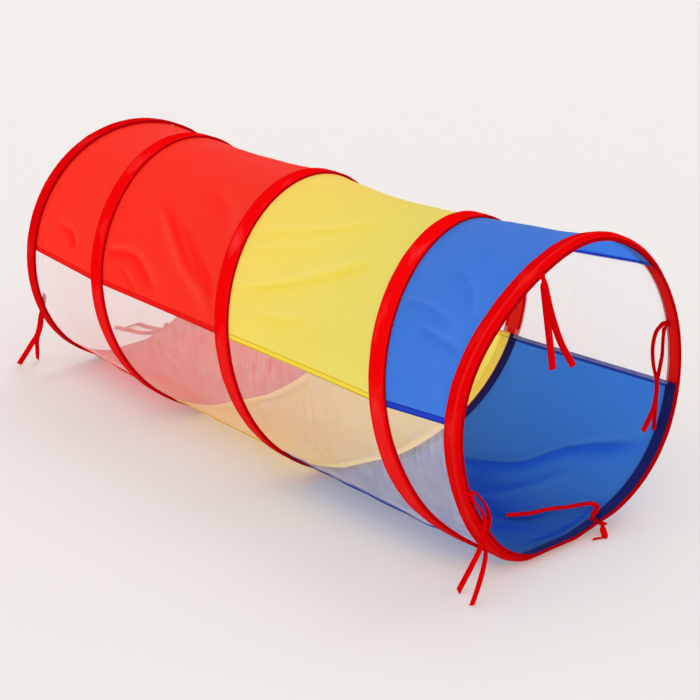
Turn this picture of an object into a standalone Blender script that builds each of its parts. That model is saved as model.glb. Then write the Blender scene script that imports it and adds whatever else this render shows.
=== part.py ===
"""A child's crawl-through play tunnel that springs open and folds flat.

Two closed spring rings carry the ends. One spring coil winds between them, nearly three
turns, under a sewn tape. Coloured cloth panels and clear net windows are sewn between the
turns, and ribbon ties hang from the end rings.

The tunnel lies along X with its front opening at +X. Its near side is -Y, its far side is
+Y and it rests on Z = 0. Angles round the tunnel are in degrees and run from the bottom (0)
over the near side (90), the top (180) and the far side (270) back to the bottom (360).
Along the coil the angle keeps growing, one turn for each 360 degrees.
"""

import math

import bmesh
import bpy
from mathutils import Vector

MM = 0.001
whole_turn = 360
half_turn = 180

# Overall sizes
tunnel_length = 1160 * MM
hoop_radius = 240 * MM

# Spring wire and its crimped sleeves
wire_diameter = 2.0 * MM
sleeve_wall = 0.3 * MM
ring_sleeve_length = 24 * MM
coil_cap_length = 16 * MM
coil_cap_base = 3 * MM
ring_wire_end_gap = 1.0 * MM
ring_joint_angle = 205

# Cloth, net, tape and ribbon
cloth_thickness = 0.6 * MM
tape_thickness = 0.7 * MM
coil_tape_width = 34 * MM
end_tape_width = 28 * MM
tape_channel_half_width = 4.5 * MM
cloth_set_back = 8 * MM
ribbon_width = 10 * MM
ribbon_thickness = 0.5 * MM
ribbon_step = 14 * MM

# Clearances between neighbours
fit_gap = 0.3 * MM
tape_gap = 0.5 * MM
seam_gap = 0.8 * MM
coil_seam_gap = 1.0 * MM
tape_flange_least = 1.5 * MM

# Coil: how it winds from the front ring to the back ring. The count is of the turns that
# would fit in the whole length of the tunnel.
coil_turns_in_length = 3.2133
coil_start = 68 * MM
coil_pull = 59 * MM
coil_pull_angle = 20
coil_pull_fade = 40

# Lean of each hoop: its turn about Z and its tip about Y, as slopes, and how far its wire
# is bent out of its plane, as cosine and sine parts
front_ring_turn = 0.0275
front_ring_tip = 0.0
front_ring_warp_cosine = -3.0 * MM
front_ring_warp_sine = -3.6 * MM
coil_turn = 0.0405
coil_tip = -0.0195
coil_warp_cosine = 2.2 * MM
coil_warp_sine = 1.1 * MM
back_ring_turn = 0.0575
back_ring_tip = 0.0372
back_ring_warp_cosine = 0.0 * MM
back_ring_warp_sine = 0.0 * MM

# Out-of-round shape of each hoop: by number of lobes, the cosine and sine parts of the
# change in radius, as shares of the radius
front_ring_growth = 1.02
back_ring_growth = 0.99
front_ring_lobes = {2: (-0.017, 0.001), 4: (-0.003, 0.016), 5: (-0.009, 0.006)}
coil_lobes = {2: (-0.031, 0.010), 3: (-0.011, 0.008)}
back_ring_lobes = {2: (-0.019, 0.015), 3: (0.007, 0.011)}
hoop_blend_length = 110 * MM

# How far the middle of each ring lies to the far side of the coil's middle
front_ring_aside = 5 * MM
back_ring_aside = 9 * MM

# Seams that run along the tunnel, as angles
floor_near_seam = 30
near_top_seam = 96
top_far_seam = 226
far_floor_seam = 278

# Cloth forms
cloth_sag = 5 * MM
tape_margin_extra = 2 * MM
deep_crease = 5 * MM
middle_crease = 4 * MM
slight_crease = 3 * MM
crease_half_width = 0.07
rest_half_angle = 10
rest_fade_angle = 25

# Facets
merge_distance = 0.01 * MM
station_step = 10
fine_step = 5
panel_rows = 9

cloth_height = 0.0
tape_foot = tape_gap
wire_radius = wire_diameter / 2
sleeve_bore = wire_radius + fit_gap
sleeve_radius = sleeve_bore + sleeve_wall
channel_radius = sleeve_radius + fit_gap
wire_height = channel_radius


def channel_crown():
    """Height of the tape's inner face over the wire: its sloping sides just clear the sleeve."""
    low = wire_height + channel_radius
    high = low + 4 * channel_radius
    for _ in range(40):
        crown = (low + high) / 2
        slope = math.hypot(tape_channel_half_width, crown - tape_foot)
        if (crown - wire_height) * tape_channel_half_width / slope < channel_radius:
            low = crown
        else:
            high = crown
    return high


tape_crown = channel_crown()
stack_height = tape_crown + tape_thickness
rest_dip = hoop_radius * (1 - math.cos(math.radians(rest_half_angle)))


def ease(value):
    value = min(1.0, max(0.0, value))
    return value * value * (3 - 2 * value)


class HoopShape:
    """The outline of one hoop, out of round by a few lobes, resting on the floor."""

    def __init__(self, growth, lobes, aside):
        self.growth = growth
        self.lobes = lobes
        self.lift = 0.0
        self.shift = 0.0
        outline = [self.spot(angle, 0.0) for angle in range(0, whole_turn, station_step)]
        self.lift = -min(z for _, z in outline) - rest_dip
        self.half_width = (max(y for y, _ in outline) - min(y for y, _ in outline)) / 2
        self.shift = aside - self.half_width - min(y for y, _ in outline)
        self.near_reach = aside - self.half_width
        self.far_reach = aside + self.half_width

    def spot(self, angle, height_from_outside):
        turn = math.radians(angle)
        share = self.growth
        for count, (cosine, sine) in self.lobes.items():
            share += cosine * math.cos(count * turn) + sine * math.sin(count * turn)
        radius = hoop_radius * share + height_from_outside
        return -radius * math.sin(turn) + self.shift, -radius * math.cos(turn) + self.lift


front_shape = HoopShape(front_ring_growth, front_ring_lobes, front_ring_aside)
coil_shape = HoopShape(1.0, coil_lobes, 0.0)
back_shape = HoopShape(back_ring_growth, back_ring_lobes, back_ring_aside)

# The shapes stand side by side, so together they are moved to be centred on Y = 0
shapes = (front_shape, coil_shape, back_shape)
side_shift = -(min(s.near_reach for s in shapes) + max(s.far_reach for s in shapes)) / 2
for shape in shapes:
    shape.shift += side_shift


def lean(angle, turn, tip, warp_cosine, warp_sine):
    around = math.radians(angle)
    bent = warp_cosine * math.cos(2 * around) + warp_sine * math.sin(2 * around)
    return hoop_radius * (turn * math.sin(around) - tip * math.cos(around)) + bent


def front_lean(angle):
    warp = (front_ring_warp_cosine, front_ring_warp_sine)
    return lean(angle, front_ring_turn, front_ring_tip, *warp)


def back_lean(angle):
    warp = (back_ring_warp_cosine, back_ring_warp_sine)
    return lean(angle, back_ring_turn, back_ring_tip, *warp)


# The leaning rings reach unequally far, so the tunnel is moved to be centred on X = 0
front_reach = max(front_lean(angle) for angle in range(0, whole_turn, station_step))
back_reach = -min(back_lean(angle) for angle in range(0, whole_turn, station_step))
centre_shift = (back_reach - front_reach) / 2
front_face = tunnel_length / 2 + centre_shift
back_face = -tunnel_length / 2 + centre_shift


def front_ring_x(angle, depth):
    return front_face - depth + front_lean(angle)


def back_ring_x(angle, depth):
    return back_face + depth + back_lean(angle)


coil_pitch = tunnel_length / coil_turns_in_length


def coil_x(angle):
    pull = coil_pull * math.exp((coil_pull_angle - angle) / coil_pull_fade)
    wound = coil_start + coil_pitch * angle / whole_turn - pull
    return front_face - wound + lean(angle, coil_turn, coil_tip, coil_warp_cosine, coil_warp_sine)


def first_angle(test, low, high):
    """The angle between low and high at which test turns true."""
    for _ in range(40):
        middle = (low + high) / 2
        if test(middle):
            high = middle
        else:
            low = middle
    return high


tape_room = tape_channel_half_width + tape_flange_least + fit_gap
coil_first = first_angle(
    lambda angle: coil_x(angle) + tape_room < front_ring_x(angle, end_tape_width), 0, half_turn
)
whole_turns = math.floor(coil_turns_in_length)
coil_last = first_angle(
    lambda angle: coil_x(angle) - tape_room < back_ring_x(angle, end_tape_width),
    whole_turn * (whole_turns - 1),
    whole_turn * (whole_turns + 1),
)
cloth_last = coil_last + whole_turn


def section_corner(angle, x, height):
    """A corner of the tunnel's section at x, height metres outside the cloth."""
    front_share = ease(1 - (front_face - end_tape_width - x) / hoop_blend_length)
    back_share = ease(1 - (x - back_face - end_tape_width) / hoop_blend_length)
    coil_share = 1 - front_share - back_share
    from_outside = height - stack_height
    y, z = 0.0, 0.0
    for share, shape in ((front_share, front_shape), (coil_share, coil_shape), (back_share, back_shape)):
        spot_y, spot_z = shape.spot(angle, from_outside)
        y += share * spot_y
        z += share * spot_z
    return Vector((x, y, max(z, -from_outside)))


def shell_point(angle, x, height):
    """A point on the faceted tunnel, straight between the corners that all layers share."""
    step = math.floor(angle / station_step + 1e-9)
    share = angle / station_step - step
    start = section_corner(step * station_step, x, height)
    if share < 1e-6:
        return start
    return start.lerp(section_corner((step + 1) * station_step, x, height), share)


def stations(first, last, step):
    """The angles first and last, with every whole step between them."""
    angles = [first]
    angle = (math.floor(first / step) + 1) * step
    while angle < last - 0.2:
        if angle - first > 0.2:
            angles.append(angle)
        angle += step
    return angles + [last]


# Scene, collection and materials

for leftover in list(bpy.data.objects):
    bpy.data.objects.remove(leftover, do_unlink=True)

tunnel = bpy.data.collections.new("play_tunnel")
bpy.context.scene.collection.children.link(tunnel)


def material(name, colour, roughness, metallic=0.0):
    made = bpy.data.materials.new(name)
    made.use_nodes = True
    shader = made.node_tree.nodes["Principled BSDF"]
    shader.inputs["Base Color"].default_value = (*colour, 1.0)
    shader.inputs["Roughness"].default_value = roughness
    shader.inputs["Metallic"].default_value = metallic
    made.diffuse_color = (*colour, 1.0)
    return made


blue_cloth = material("blue_cloth", (0.05, 0.19, 0.70), 0.55)
yellow_cloth = material("yellow_cloth", (0.88, 0.71, 0.11), 0.55)
red_cloth = material("red_cloth", (0.90, 0.03, 0.01), 0.55)
white_net = material("white_net", (0.80, 0.78, 0.78), 0.70)
red_tape = material("red_tape", (0.72, 0.00, 0.00), 0.50)
red_ribbon = material("red_ribbon", (0.70, 0.00, 0.01), 0.45)
spring_steel = material("spring_steel", (0.50, 0.50, 0.52), 0.35, 1.0)
sleeve_steel = material("sleeve_steel", (0.62, 0.62, 0.64), 0.40, 1.0)
cap_plastic = material("cap_plastic", (0.05, 0.05, 0.05), 0.50)


def add_object(name, mesh, finish):
    piece = bpy.data.objects.new(name, mesh)
    mesh.materials.append(finish)
    tunnel.objects.link(piece)
    return piece


def add_sheet(name, columns, rows, place, thickness, finish, side, closed=False):
    """A grid of columns by rows laid through place(column, row), then thickened.

    It thickens away from the tunnel's axis where side is 1, towards it where side is -1 and
    both ways where side is 0.
    """
    sheet = bmesh.new()
    bmesh.ops.create_grid(sheet, x_segments=columns - 1, y_segments=rows - 1, size=1.0)
    for corner in sheet.verts:
        column = round((corner.co.x + 1) / 2 * (columns - 1))
        row = round((corner.co.y + 1) / 2 * (rows - 1))
        corner.co = place(column, row)
    if closed:
        bmesh.ops.remove_doubles(sheet, verts=sheet.verts, dist=merge_distance)
    bmesh.ops.recalc_face_normals(sheet, faces=sheet.faces)
    sheet.faces.ensure_lookup_table()
    probe = sheet.faces[0]
    middle = probe.calc_center_median()
    from_axis = Vector((0, middle.y, middle.z - hoop_radius))
    if probe.normal.dot(from_axis) < 0:
        bmesh.ops.reverse_faces(sheet, faces=sheet.faces)
    mesh = bpy.data.meshes.new(name)
    sheet.to_mesh(mesh)
    sheet.free()
    mesh.shade_smooth()
    piece = add_object(name, mesh, finish)
    shell = piece.modifiers.new("thickness", "SOLIDIFY")
    shell.thickness = thickness
    shell.offset = side
    return piece


def add_wire(name, points, finish):
    path = bpy.data.curves.new(name, "CURVE")
    path.dimensions = "3D"
    path.bevel_depth = wire_radius
    path.bevel_resolution = 2
    path.use_fill_caps = True
    line = path.splines.new("POLY")
    line.points.add(len(points) - 1)
    for knot, point in zip(line.points, points):
        knot.co = (*point, 1.0)
    return add_object(name, path, finish)


def add_turned(name, start, direction, profile, finish):
    """A profile of (radius, distance) corners turned about the line from start."""
    outline = bmesh.new()
    corners = [outline.verts.new((radius, 0, along)) for radius, along in profile]
    for first, second in zip(corners, corners[1:]):
        outline.edges.new((first, second))
    if profile[0][0] > 0:
        outline.edges.new((corners[-1], corners[0]))
    mesh = bpy.data.meshes.new(name)
    outline.to_mesh(mesh)
    outline.free()
    piece = add_object(name, mesh, finish)
    piece.location = start
    piece.rotation_euler = direction.to_track_quat("Z", "Y").to_euler()
    turn = piece.modifiers.new("turn", "SCREW")
    turn.axis = "Z"
    turn.steps = 12
    turn.render_steps = 12
    turn.use_merge_vertices = True
    turn.merge_threshold = merge_distance
    return piece


# Ring wires, each an open hoop whose ends meet inside a crimped sleeve


def add_ring(label, ring_x):
    wire_depth = end_tape_width / 2
    joint = (math.floor(ring_joint_angle / station_step) + 0.5) * station_step
    before = joint - station_step / 2

    def wire_point(angle):
        return shell_point(angle, ring_x(angle, wire_depth), wire_height)

    start = wire_point(before)
    along = (wire_point(before + station_step) - start).normalized()
    centre = (start + wire_point(before + station_step)) / 2
    half_gap = ring_wire_end_gap / 2
    count = whole_turn // station_step
    knots = [wire_point(before + station_step * (1 + step)) for step in range(count)]
    add_wire(
        f"{label}_ring_wire",
        [centre + along * half_gap, *knots, centre - along * half_gap],
        spring_steel,
    )

    half = ring_sleeve_length / 2
    profile = [(sleeve_radius, half), (sleeve_radius, -half), (sleeve_bore, -half), (sleeve_bore, half)]
    add_turned(f"{label}_ring_sleeve", centre, along, profile, sleeve_steel)


add_ring("front", front_ring_x)
add_ring("back", back_ring_x)

# Coil wire with a cap on each end


def coil_point(angle):
    return shell_point(angle, coil_x(angle), wire_height)


cap_hold = coil_cap_length - coil_cap_base
first_corner = math.ceil(coil_first / station_step) * station_step
last_corner = math.floor(coil_last / station_step) * station_step
first_reach = (coil_point(first_corner + station_step) - coil_point(first_corner)) / 2
last_reach = (coil_point(last_corner - station_step) - coil_point(last_corner)) / 2
wire_start = coil_point(first_corner) + first_reach
wire_finish = coil_point(last_corner) + last_reach
inner_corners = range(first_corner + station_step, last_corner, station_step)
add_wire("coil_wire", [wire_start, *map(coil_point, inner_corners), wire_finish], spring_steel)

for label, tip, reach in (("front", wire_start, first_reach), ("back", wire_finish, last_reach)):
    inward = reach.normalized()
    base = coil_cap_base
    profile = [
        (0.0, -base),
        (sleeve_radius, -base),
        (sleeve_radius, cap_hold),
        (sleeve_bore, cap_hold),
        (sleeve_bore, -fit_gap),
        (0.0, -fit_gap),
    ]
    add_turned(f"coil_{label}_cap", tip, inward, list(reversed(profile)), cap_plastic)

# Sewn tapes, each with a channel over its wire

channel_heights = (tape_foot, tape_foot, tape_crown, tape_foot, tape_foot)


def add_end_tape(label, ring_x):
    middle = end_tape_width / 2
    depths = (0, middle - tape_channel_half_width, middle, middle + tape_channel_half_width, end_tape_width)

    def place(column, row):
        angle = column * station_step
        return shell_point(angle, ring_x(angle, depths[row]), channel_heights[row])

    columns = whole_turn // station_step + 1
    name = f"{label}_ring_tape"
    add_sheet(name, columns, len(depths), place, tape_thickness, red_tape, side=1, closed=True)


add_end_tape("front", front_ring_x)
add_end_tape("back", back_ring_x)

tape_angles = stations(coil_first, coil_last, station_step)


def place_coil_tape(column, row):
    angle = tape_angles[column]
    centre = coil_x(angle)
    front_edge = min(
        centre + coil_tape_width / 2, front_ring_x(angle, end_tape_width) - fit_gap
    )
    back_edge = max(
        centre - coil_tape_width / 2, back_ring_x(angle, end_tape_width) + fit_gap
    )
    half = tape_channel_half_width
    spots = (front_edge, centre + half, centre, centre - half, back_edge)
    return shell_point(angle, spots[row], channel_heights[row])


add_sheet("coil_tape", len(tape_angles), 5, place_coil_tape, tape_thickness, red_tape, side=1)

# Cloth panels and net windows, sewn edge to edge between the turns of the coil


def front_line(angle):
    """Front edge of the strip at this angle: the turn before it, or the front ring."""
    if angle - whole_turn < floor_near_seam:
        return front_ring_x(angle, cloth_set_back)
    return coil_x(angle - whole_turn) - coil_seam_gap / 2


seam_arc = math.degrees(seam_gap / 2 / hoop_radius)
end_step = 4 * seam_arc


def back_line(angle):
    """Back edge of the strip at this angle: the coil, or the back ring past its end."""
    if angle > coil_last + 2 * seam_arc:
        return back_ring_x(angle, cloth_set_back)
    return coil_x(angle) + coil_seam_gap / 2


def folds_of(creases, across, along):
    """Height of the diagonal folds: each crease runs between two points of the panel."""
    height = 0.0
    for (from_across, from_along), (to_across, to_along), rise, width in creases:
        line_across = to_across - from_across
        line_along = to_along - from_along
        length = math.hypot(line_across, line_along)
        offset_across = across - from_across
        offset_along = along - from_along
        travelled = (offset_across * line_across + offset_along * line_along) / length
        aside = (offset_across * line_along - offset_along * line_across) / length
        fade = ease(travelled / length * 4 + 0.5) * ease((1 - travelled / length) * 4 + 0.5)
        height += rise * fade * math.exp(-((aside / width) ** 2))
    return height


def add_panel(name, first, last, finish, step, creases):
    angles = stations(first + seam_arc, last - seam_arc, step)
    if first < coil_last < last:
        angles = sorted([*angles, coil_last + seam_arc, coil_last + seam_arc + end_step])
    tape_margin = coil_tape_width / 2 + tape_margin_extra

    rows = panel_rows

    def place(column, row):
        angle = angles[column]
        front = front_line(angle)
        back = back_line(angle)
        span = front - back
        margin = min(tape_margin, span / 4)
        if row == 0:
            return shell_point(angle, front, cloth_height)
        if row == rows - 1:
            return shell_point(angle, back, cloth_height)
        along = (row - 1) / (rows - 3)
        x = front - margin - along * (span - 2 * margin)
        slack = ease((span - 2 * tape_margin) / (4 * tape_margin))
        belly = 4 * along * (1 - along)
        around = abs((angle + half_turn) % whole_turn - half_turn)
        resting = ease((rest_fade_angle - around) / (rest_fade_angle - rest_half_angle))
        sunk = cloth_sag * slack * belly * (1 - resting)
        lowered = stack_height * slack * resting * (1 if 0 < along < 1 else 0)
        across = (angle - first) / (last - first)
        edge_fade = ease(across * 8) * ease((1 - across) * 8) * (1 if 0 < along < 1 else 0)
        fold = edge_fade * folds_of(creases, across, along)
        return shell_point(angle, x, cloth_height - sunk + lowered - fold)

    add_sheet(name, len(angles), rows, place, cloth_thickness, finish, side=-1)


# Each crease: start and end as (share from seam to seam, share from front to back), the
# fold's depth, and its half width as a share of the panel
red_creases = (
    ((0.05, 0.20), (0.62, 0.75), deep_crease, crease_half_width),
    ((0.03, 0.55), (0.50, 0.98), middle_crease, crease_half_width),
    ((0.10, 0.05), (0.75, 0.35), slight_crease, crease_half_width),
)
yellow_creases = (
    ((0.10, 0.30), (0.60, 0.10), slight_crease, crease_half_width),
    ((0.20, 0.95), (0.70, 0.55), slight_crease, crease_half_width),
)
blue_creases = (
    ((0.05, 0.85), (0.45, 0.25), middle_crease, crease_half_width),
    ((0.30, 0.90), (0.75, 0.50), slight_crease, crease_half_width),
)
tail_creases = (
    ((0.05, 0.70), (0.60, 0.25), slight_crease, crease_half_width),
    ((0.35, 0.90), (0.80, 0.50), slight_crease, crease_half_width),
)
floor_creases = (
    ((0.30, 0.55), (0.70, 0.85), slight_crease, crease_half_width),
    ((0.10, 0.35), (0.35, 0.75), slight_crease, crease_half_width),
)

# Each bay has four strips round the tunnel. Past the named bays the cloth goes on as the last.
bays = (
    ("blue", blue_cloth, blue_creases),
    ("yellow", yellow_cloth, yellow_creases),
    ("red", red_cloth, red_creases),
    ("tail", red_cloth, tail_creases),
)
bay_count = math.ceil((cloth_last - floor_near_seam) / whole_turn)
floor_end = whole_turn + floor_near_seam
for number in range(bay_count):
    bay, cloth, creases = bays[min(number, len(bays) - 1)]
    if number >= len(bays):
        bay = f"{bay}_{number}"
    strips = (
        ("near_window", floor_near_seam, near_top_seam, white_net, station_step, ()),
        ("top_panel", near_top_seam, top_far_seam, cloth, fine_step, creases),
        ("far_window", top_far_seam, far_floor_seam, white_net, station_step, ()),
        ("floor_panel", far_floor_seam, floor_end, cloth, station_step, floor_creases),
    )
    for strip, first, last, finish, step, folds in strips:
        turn = whole_turn * number
        if turn + first + station_step < cloth_last:
            last = min(turn + last, cloth_last)
            add_panel(f"{bay}_{strip}", turn + first, last, finish, step, folds)

# Ribbon ties, each sewn to an end ring at its middle, with two loose tails


def smooth_route(points, step):
    """Points every step along a rounded curve through the given ones."""
    ends = [2 * points[0] - points[1], *points, 2 * points[-1] - points[-2]]
    fine = []
    parts = 12
    for index in range(1, len(ends) - 2):
        before, start, finish, after = ends[index - 1 : index + 3]
        for part in range(parts):
            t = part / parts
            fine.append(
                0.5
                * (
                    2 * start
                    + (finish - before) * t
                    + (2 * before - 5 * start + 4 * finish - after) * t**2
                    + (3 * start - before - 3 * finish + after) * t**3
                )
            )
    fine.append(points[-1])
    lengths = [0.0]
    for start, finish in zip(fine, fine[1:]):
        lengths.append(lengths[-1] + (finish - start).length)
    count = max(2, round(lengths[-1] / step))
    route = []
    index = 0
    for number in range(count + 1):
        target = lengths[-1] * number / count
        while index < len(fine) - 2 and lengths[index + 1] < target:
            index += 1
        share = (target - lengths[index]) / (lengths[index + 1] - lengths[index])
        route.append(fine[index].lerp(fine[index + 1], min(1.0, share)))
    return route


# How far each ribbon is sewn in behind the edge of its ring's tape, and how far it runs
# straight out past that edge before it bends
ribbon_sewn_depth = 18 * MM
ribbon_edge_depth = 6 * MM
ribbon_straight = 5 * MM
ribbon_layer_gap = 1.5 * MM
floor_gap = 0.1 * MM
ribbon_lying_height = ribbon_thickness / 2 + floor_gap
ribbon_turning_share = 0.15
ribbon_half_angle = 1


def add_tie(name, ring_x, outward, angle, tails, stub=()):
    """A ribbon folded at its middle, sewn inside a ring at the angle, with two tails.

    Each tail is a run of (outward, across, height) places from the sewn spot, the height as
    a share of that spot's own, and the directions in which its width points near the ring
    and at its end. Without them it lies flat. A tail whose first place is inward runs inside
    the tunnel. The stub lists (angle, depth, lift) places where the sewn end goes on inside.
    """
    sewn_x = ring_x(angle, ribbon_edge_depth)
    below = shell_point(angle - ribbon_half_angle, sewn_x, 0)
    along_hoop = shell_point(angle + ribbon_half_angle, sewn_x, 0) - below
    outside = along_hoop.cross(Vector((1, 0, 0)))

    def sewn(depth, layer, at_angle=angle, lift=0):
        height = cloth_thickness + fit_gap + ribbon_thickness / 2 + layer * ribbon_layer_gap
        return shell_point(at_angle, ring_x(at_angle, depth), -height - lift)

    path = []
    spread = []
    for layer, (places, directions) in enumerate(tails):
        edge_spot = sewn(ribbon_edge_depth, layer)
        sewn_run = [sewn(depth, 0, at_angle, lift) for at_angle, depth, lift in stub if layer == 0]
        if places[0][0] < 0:
            sewn_run.append(sewn(ribbon_sewn_depth, layer))
            corners = [sewn(ribbon_sewn_depth + ribbon_straight, layer)]
        else:
            if not sewn_run:
                sewn_run.append(sewn(ribbon_sewn_depth, layer))
            sewn_run.append(edge_spot)
            corners = [sewn(-ribbon_straight, layer)]
        for reach, across, share in places:
            height = ribbon_lying_height + share * (edge_spot.z - ribbon_lying_height)
            corners.append(Vector((edge_spot.x + outward * reach, edge_spot.y + across, height)))
        route = smooth_route(corners, ribbon_step)
        tail = [*sewn_run, *route]
        widths = []
        for index, spot in enumerate(tail):
            ahead = tail[min(index + 1, len(tail) - 1)] - tail[max(index - 1, 0)]
            sewn_width = outside.cross(ahead).normalized()
            past = max(0, index - len(sewn_run)) / (len(route) - 1)
            if directions:
                start, end = directions
                wanted = start.lerp(end, past)
            else:
                wanted = Vector((0, 0, 1)).cross(ahead).normalized()
            if widths and wanted.dot(widths[-1]) < 0:
                wanted = -wanted
            if widths and sewn_width.dot(widths[-1]) < 0:
                sewn_width = -sewn_width
            width = sewn_width.lerp(wanted, ease(past / ribbon_turning_share))
            width -= ahead * width.dot(ahead) / ahead.length_squared
            widths.append(width.normalized())
        if layer == 0:
            tail.reverse()
            widths.reverse()
        elif widths[0].dot(spread[-1]) < 0:
            widths = [-width for width in widths]
        path += tail
        spread += widths

    def place(column, row):
        corner = path[column] + spread[column] * ribbon_width * (row - 0.5)
        corner.z = max(corner.z, ribbon_lying_height)
        return corner

    add_sheet(name, len(path), 2, place, ribbon_thickness, red_ribbon, side=0)


facing_front = Vector((0.65, 0.76, 0.0))
along_tunnel = Vector((1.0, -0.06, 0.0))
near_edge_on = Vector((0.92, -0.39, 0.0))
half_facing = Vector((0.98, -0.20, 0.0))
add_tie(
    "front_top_tie",
    front_ring_x,
    1,
    156,
    (
        (
            ((0.006, 0.012, 0.92), (0.008, 0.021, 0.80), (0.009, 0.031, 0.68)),
            (facing_front, facing_front),
        ),
        (
            ((0.006, 0.023, 0.88), (0.008, 0.044, 0.77), (0.009, 0.073, 0.67)),
            (facing_front, facing_front),
        ),
    ),
)
add_tie(
    "front_far_tie",
    front_ring_x,
    1,
    255,
    (
        (
            (
                (-0.012, -0.019, 1.01),
                (-0.012, -0.034, 0.98),
                (-0.011, -0.041, 0.90),
                (-0.009, -0.038, 0.80),
                (-0.008, -0.029, 0.71),
                (-0.007, -0.030, 0.63),
                (-0.007, -0.035, 0.56),
                (-0.006, -0.057, 0.46),
            ),
            (near_edge_on, along_tunnel),
        ),
        (
            (
                (-0.014, -0.011, 0.98),
                (-0.014, -0.012, 0.91),
                (-0.013, -0.013, 0.84),
                (-0.011, -0.020, 0.76),
                (-0.010, -0.025, 0.70),
                (-0.009, -0.025, 0.60),
                (-0.009, -0.026, 0.52),
                (-0.008, -0.027, 0.44),
            ),
            (near_edge_on, half_facing),
        ),
    ),
)
outer_turned = Vector((0.35, 0.73, 0.58))
cloth_spread = Vector((-0.68, 0.73, 0.20))
add_tie(
    "front_floor_tie",
    front_ring_x,
    1,
    341,
    (
        (
            (
                (0.010, -0.004, 0.66),
                (0.015, -0.005, 0.18),
                (0.016, -0.010, 0.0),
                (0.013, -0.019, 0.0),
                (0.010, -0.027, 0.0),
            ),
            (outer_turned, outer_turned),
        ),
        (
            (
                (-0.016, 0.003, 1.30),
                (-0.020, 0.015, 1.62),
                (-0.035, 0.020, 1.62),
                (-0.049, 0.008, 1.43),
                (-0.061, -0.005, 1.22),
                (-0.083, -0.023, 0.91),
                (-0.101, -0.047, 0.58),
                (-0.121, -0.077, 0.52),
            ),
            (cloth_spread, cloth_spread),
        ),
    ),
)
add_tie(
    "front_near_tie",
    front_ring_x,
    1,
    72,
    (
        (
            (
                (0.013, 0.004, 1.03),
                (0.016, 0.017, 0.94),
                (0.016, 0.029, 0.82),
                (0.015, 0.034, 0.71),
                (0.013, 0.032, 0.62),
                (0.012, 0.027, 0.53),
                (0.010, 0.020, 0.42),
                (0.002, 0.013, 0.26),
                (-0.014, 0.006, 0.01),
            ),
            (along_tunnel, along_tunnel),
        ),
        (
            (
                (0.011, 0.005, 0.93),
                (0.013, 0.017, 0.84),
                (0.013, 0.026, 0.73),
                (0.012, 0.026, 0.64),
                (0.014, 0.021, 0.55),
                (0.017, 0.026, 0.43),
                (0.018, 0.021, 0.28),
                (0.026, 0.003, 0.15),
                (0.029, -0.011, 0.02),
            ),
            (along_tunnel, half_facing),
        ),
    ),
)
left_tail_turned = Vector((0.69, 0.52, -0.51))
add_tie(
    "back_near_tie",
    back_ring_x,
    -1,
    63,
    (
        (
            (
                (0.013, -0.005, 0.74),
                (0.018, -0.010, 0.58),
                (0.025, -0.015, 0.48),
                (0.048, -0.019, 0.25),
                (0.073, -0.022, 0.02),
            ),
            (facing_front, left_tail_turned),
        ),
        (
            ((0.014, -0.004, 0.74), (0.023, -0.008, 0.52), (0.045, 0.003, 0.27), (0.073, 0.017, 0.02)),
            (facing_front, along_tunnel),
        ),
    ),
    stub=((75, 34 * MM, 4 * MM), (71, 25 * MM, 2 * MM), (66.5, 12 * MM, 0.0)),
)
lying_turned = Vector((0.50, 0.50, 0.60))
add_tie(
    "back_floor_tie",
    back_ring_x,
    -1,
    338,
    (
        (
            (
                (0.012, 0.001, 0.85),
                (0.022, 0.004, 0.35),
                (0.044, 0.003, 0.10),
                (0.068, -0.005, 0.10),
                (0.097, -0.011, 0.10),
                (0.097, -0.040, 0.10),
            ),
            (lying_turned, lying_turned),
        ),
        (
            (
                (0.012, -0.001, 0.85),
                (0.022, -0.007, 0.35),
                (0.033, -0.020, 0.15),
                (0.045, -0.033, 0.10),
                (0.070, -0.042, 0.10),
                (0.112, -0.057, 0.10),
            ),
            (lying_turned, lying_turned),
        ),
    ),
)
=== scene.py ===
import math

import bmesh
import bpy
import numpy as np
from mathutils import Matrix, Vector


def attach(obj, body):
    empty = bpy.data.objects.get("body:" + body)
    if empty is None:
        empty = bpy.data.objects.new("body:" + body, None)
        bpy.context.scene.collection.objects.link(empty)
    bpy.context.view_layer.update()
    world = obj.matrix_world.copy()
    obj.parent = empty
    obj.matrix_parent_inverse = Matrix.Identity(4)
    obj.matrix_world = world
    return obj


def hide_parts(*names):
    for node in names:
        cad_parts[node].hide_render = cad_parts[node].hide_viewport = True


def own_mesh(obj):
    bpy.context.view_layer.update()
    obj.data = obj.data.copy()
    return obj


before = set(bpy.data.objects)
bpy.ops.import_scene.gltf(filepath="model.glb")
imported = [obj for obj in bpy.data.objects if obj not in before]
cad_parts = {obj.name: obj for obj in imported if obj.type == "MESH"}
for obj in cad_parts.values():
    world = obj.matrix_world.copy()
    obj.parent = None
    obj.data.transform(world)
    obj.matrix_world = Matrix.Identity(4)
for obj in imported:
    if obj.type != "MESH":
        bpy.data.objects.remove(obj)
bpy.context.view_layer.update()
print("frame loaded")

# Camera

camera = {
    "place": (2.0100, -1.6468, 1.1082),
    "target": (0.1565, -0.0622, 0.2134),
    "lens": 83.26,
    "sensor": 36,
}


def addCamera(look):
    lens = bpy.data.cameras.new("camera")
    lens.lens = look["lens"]
    lens.sensor_width = look["sensor"]
    lens.clip_end = 60
    made = bpy.data.objects.new("camera", lens)
    made.location = look["place"]
    sight = Vector(look["target"]) - Vector(look["place"])
    made.rotation_euler = sight.to_track_quat("-Z", "Y").to_euler()
    bpy.context.scene.collection.objects.link(made)
    bpy.context.scene.camera = made


addCamera(camera)
print("camera placed")

# The shared shape of the hoops, in metres

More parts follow.
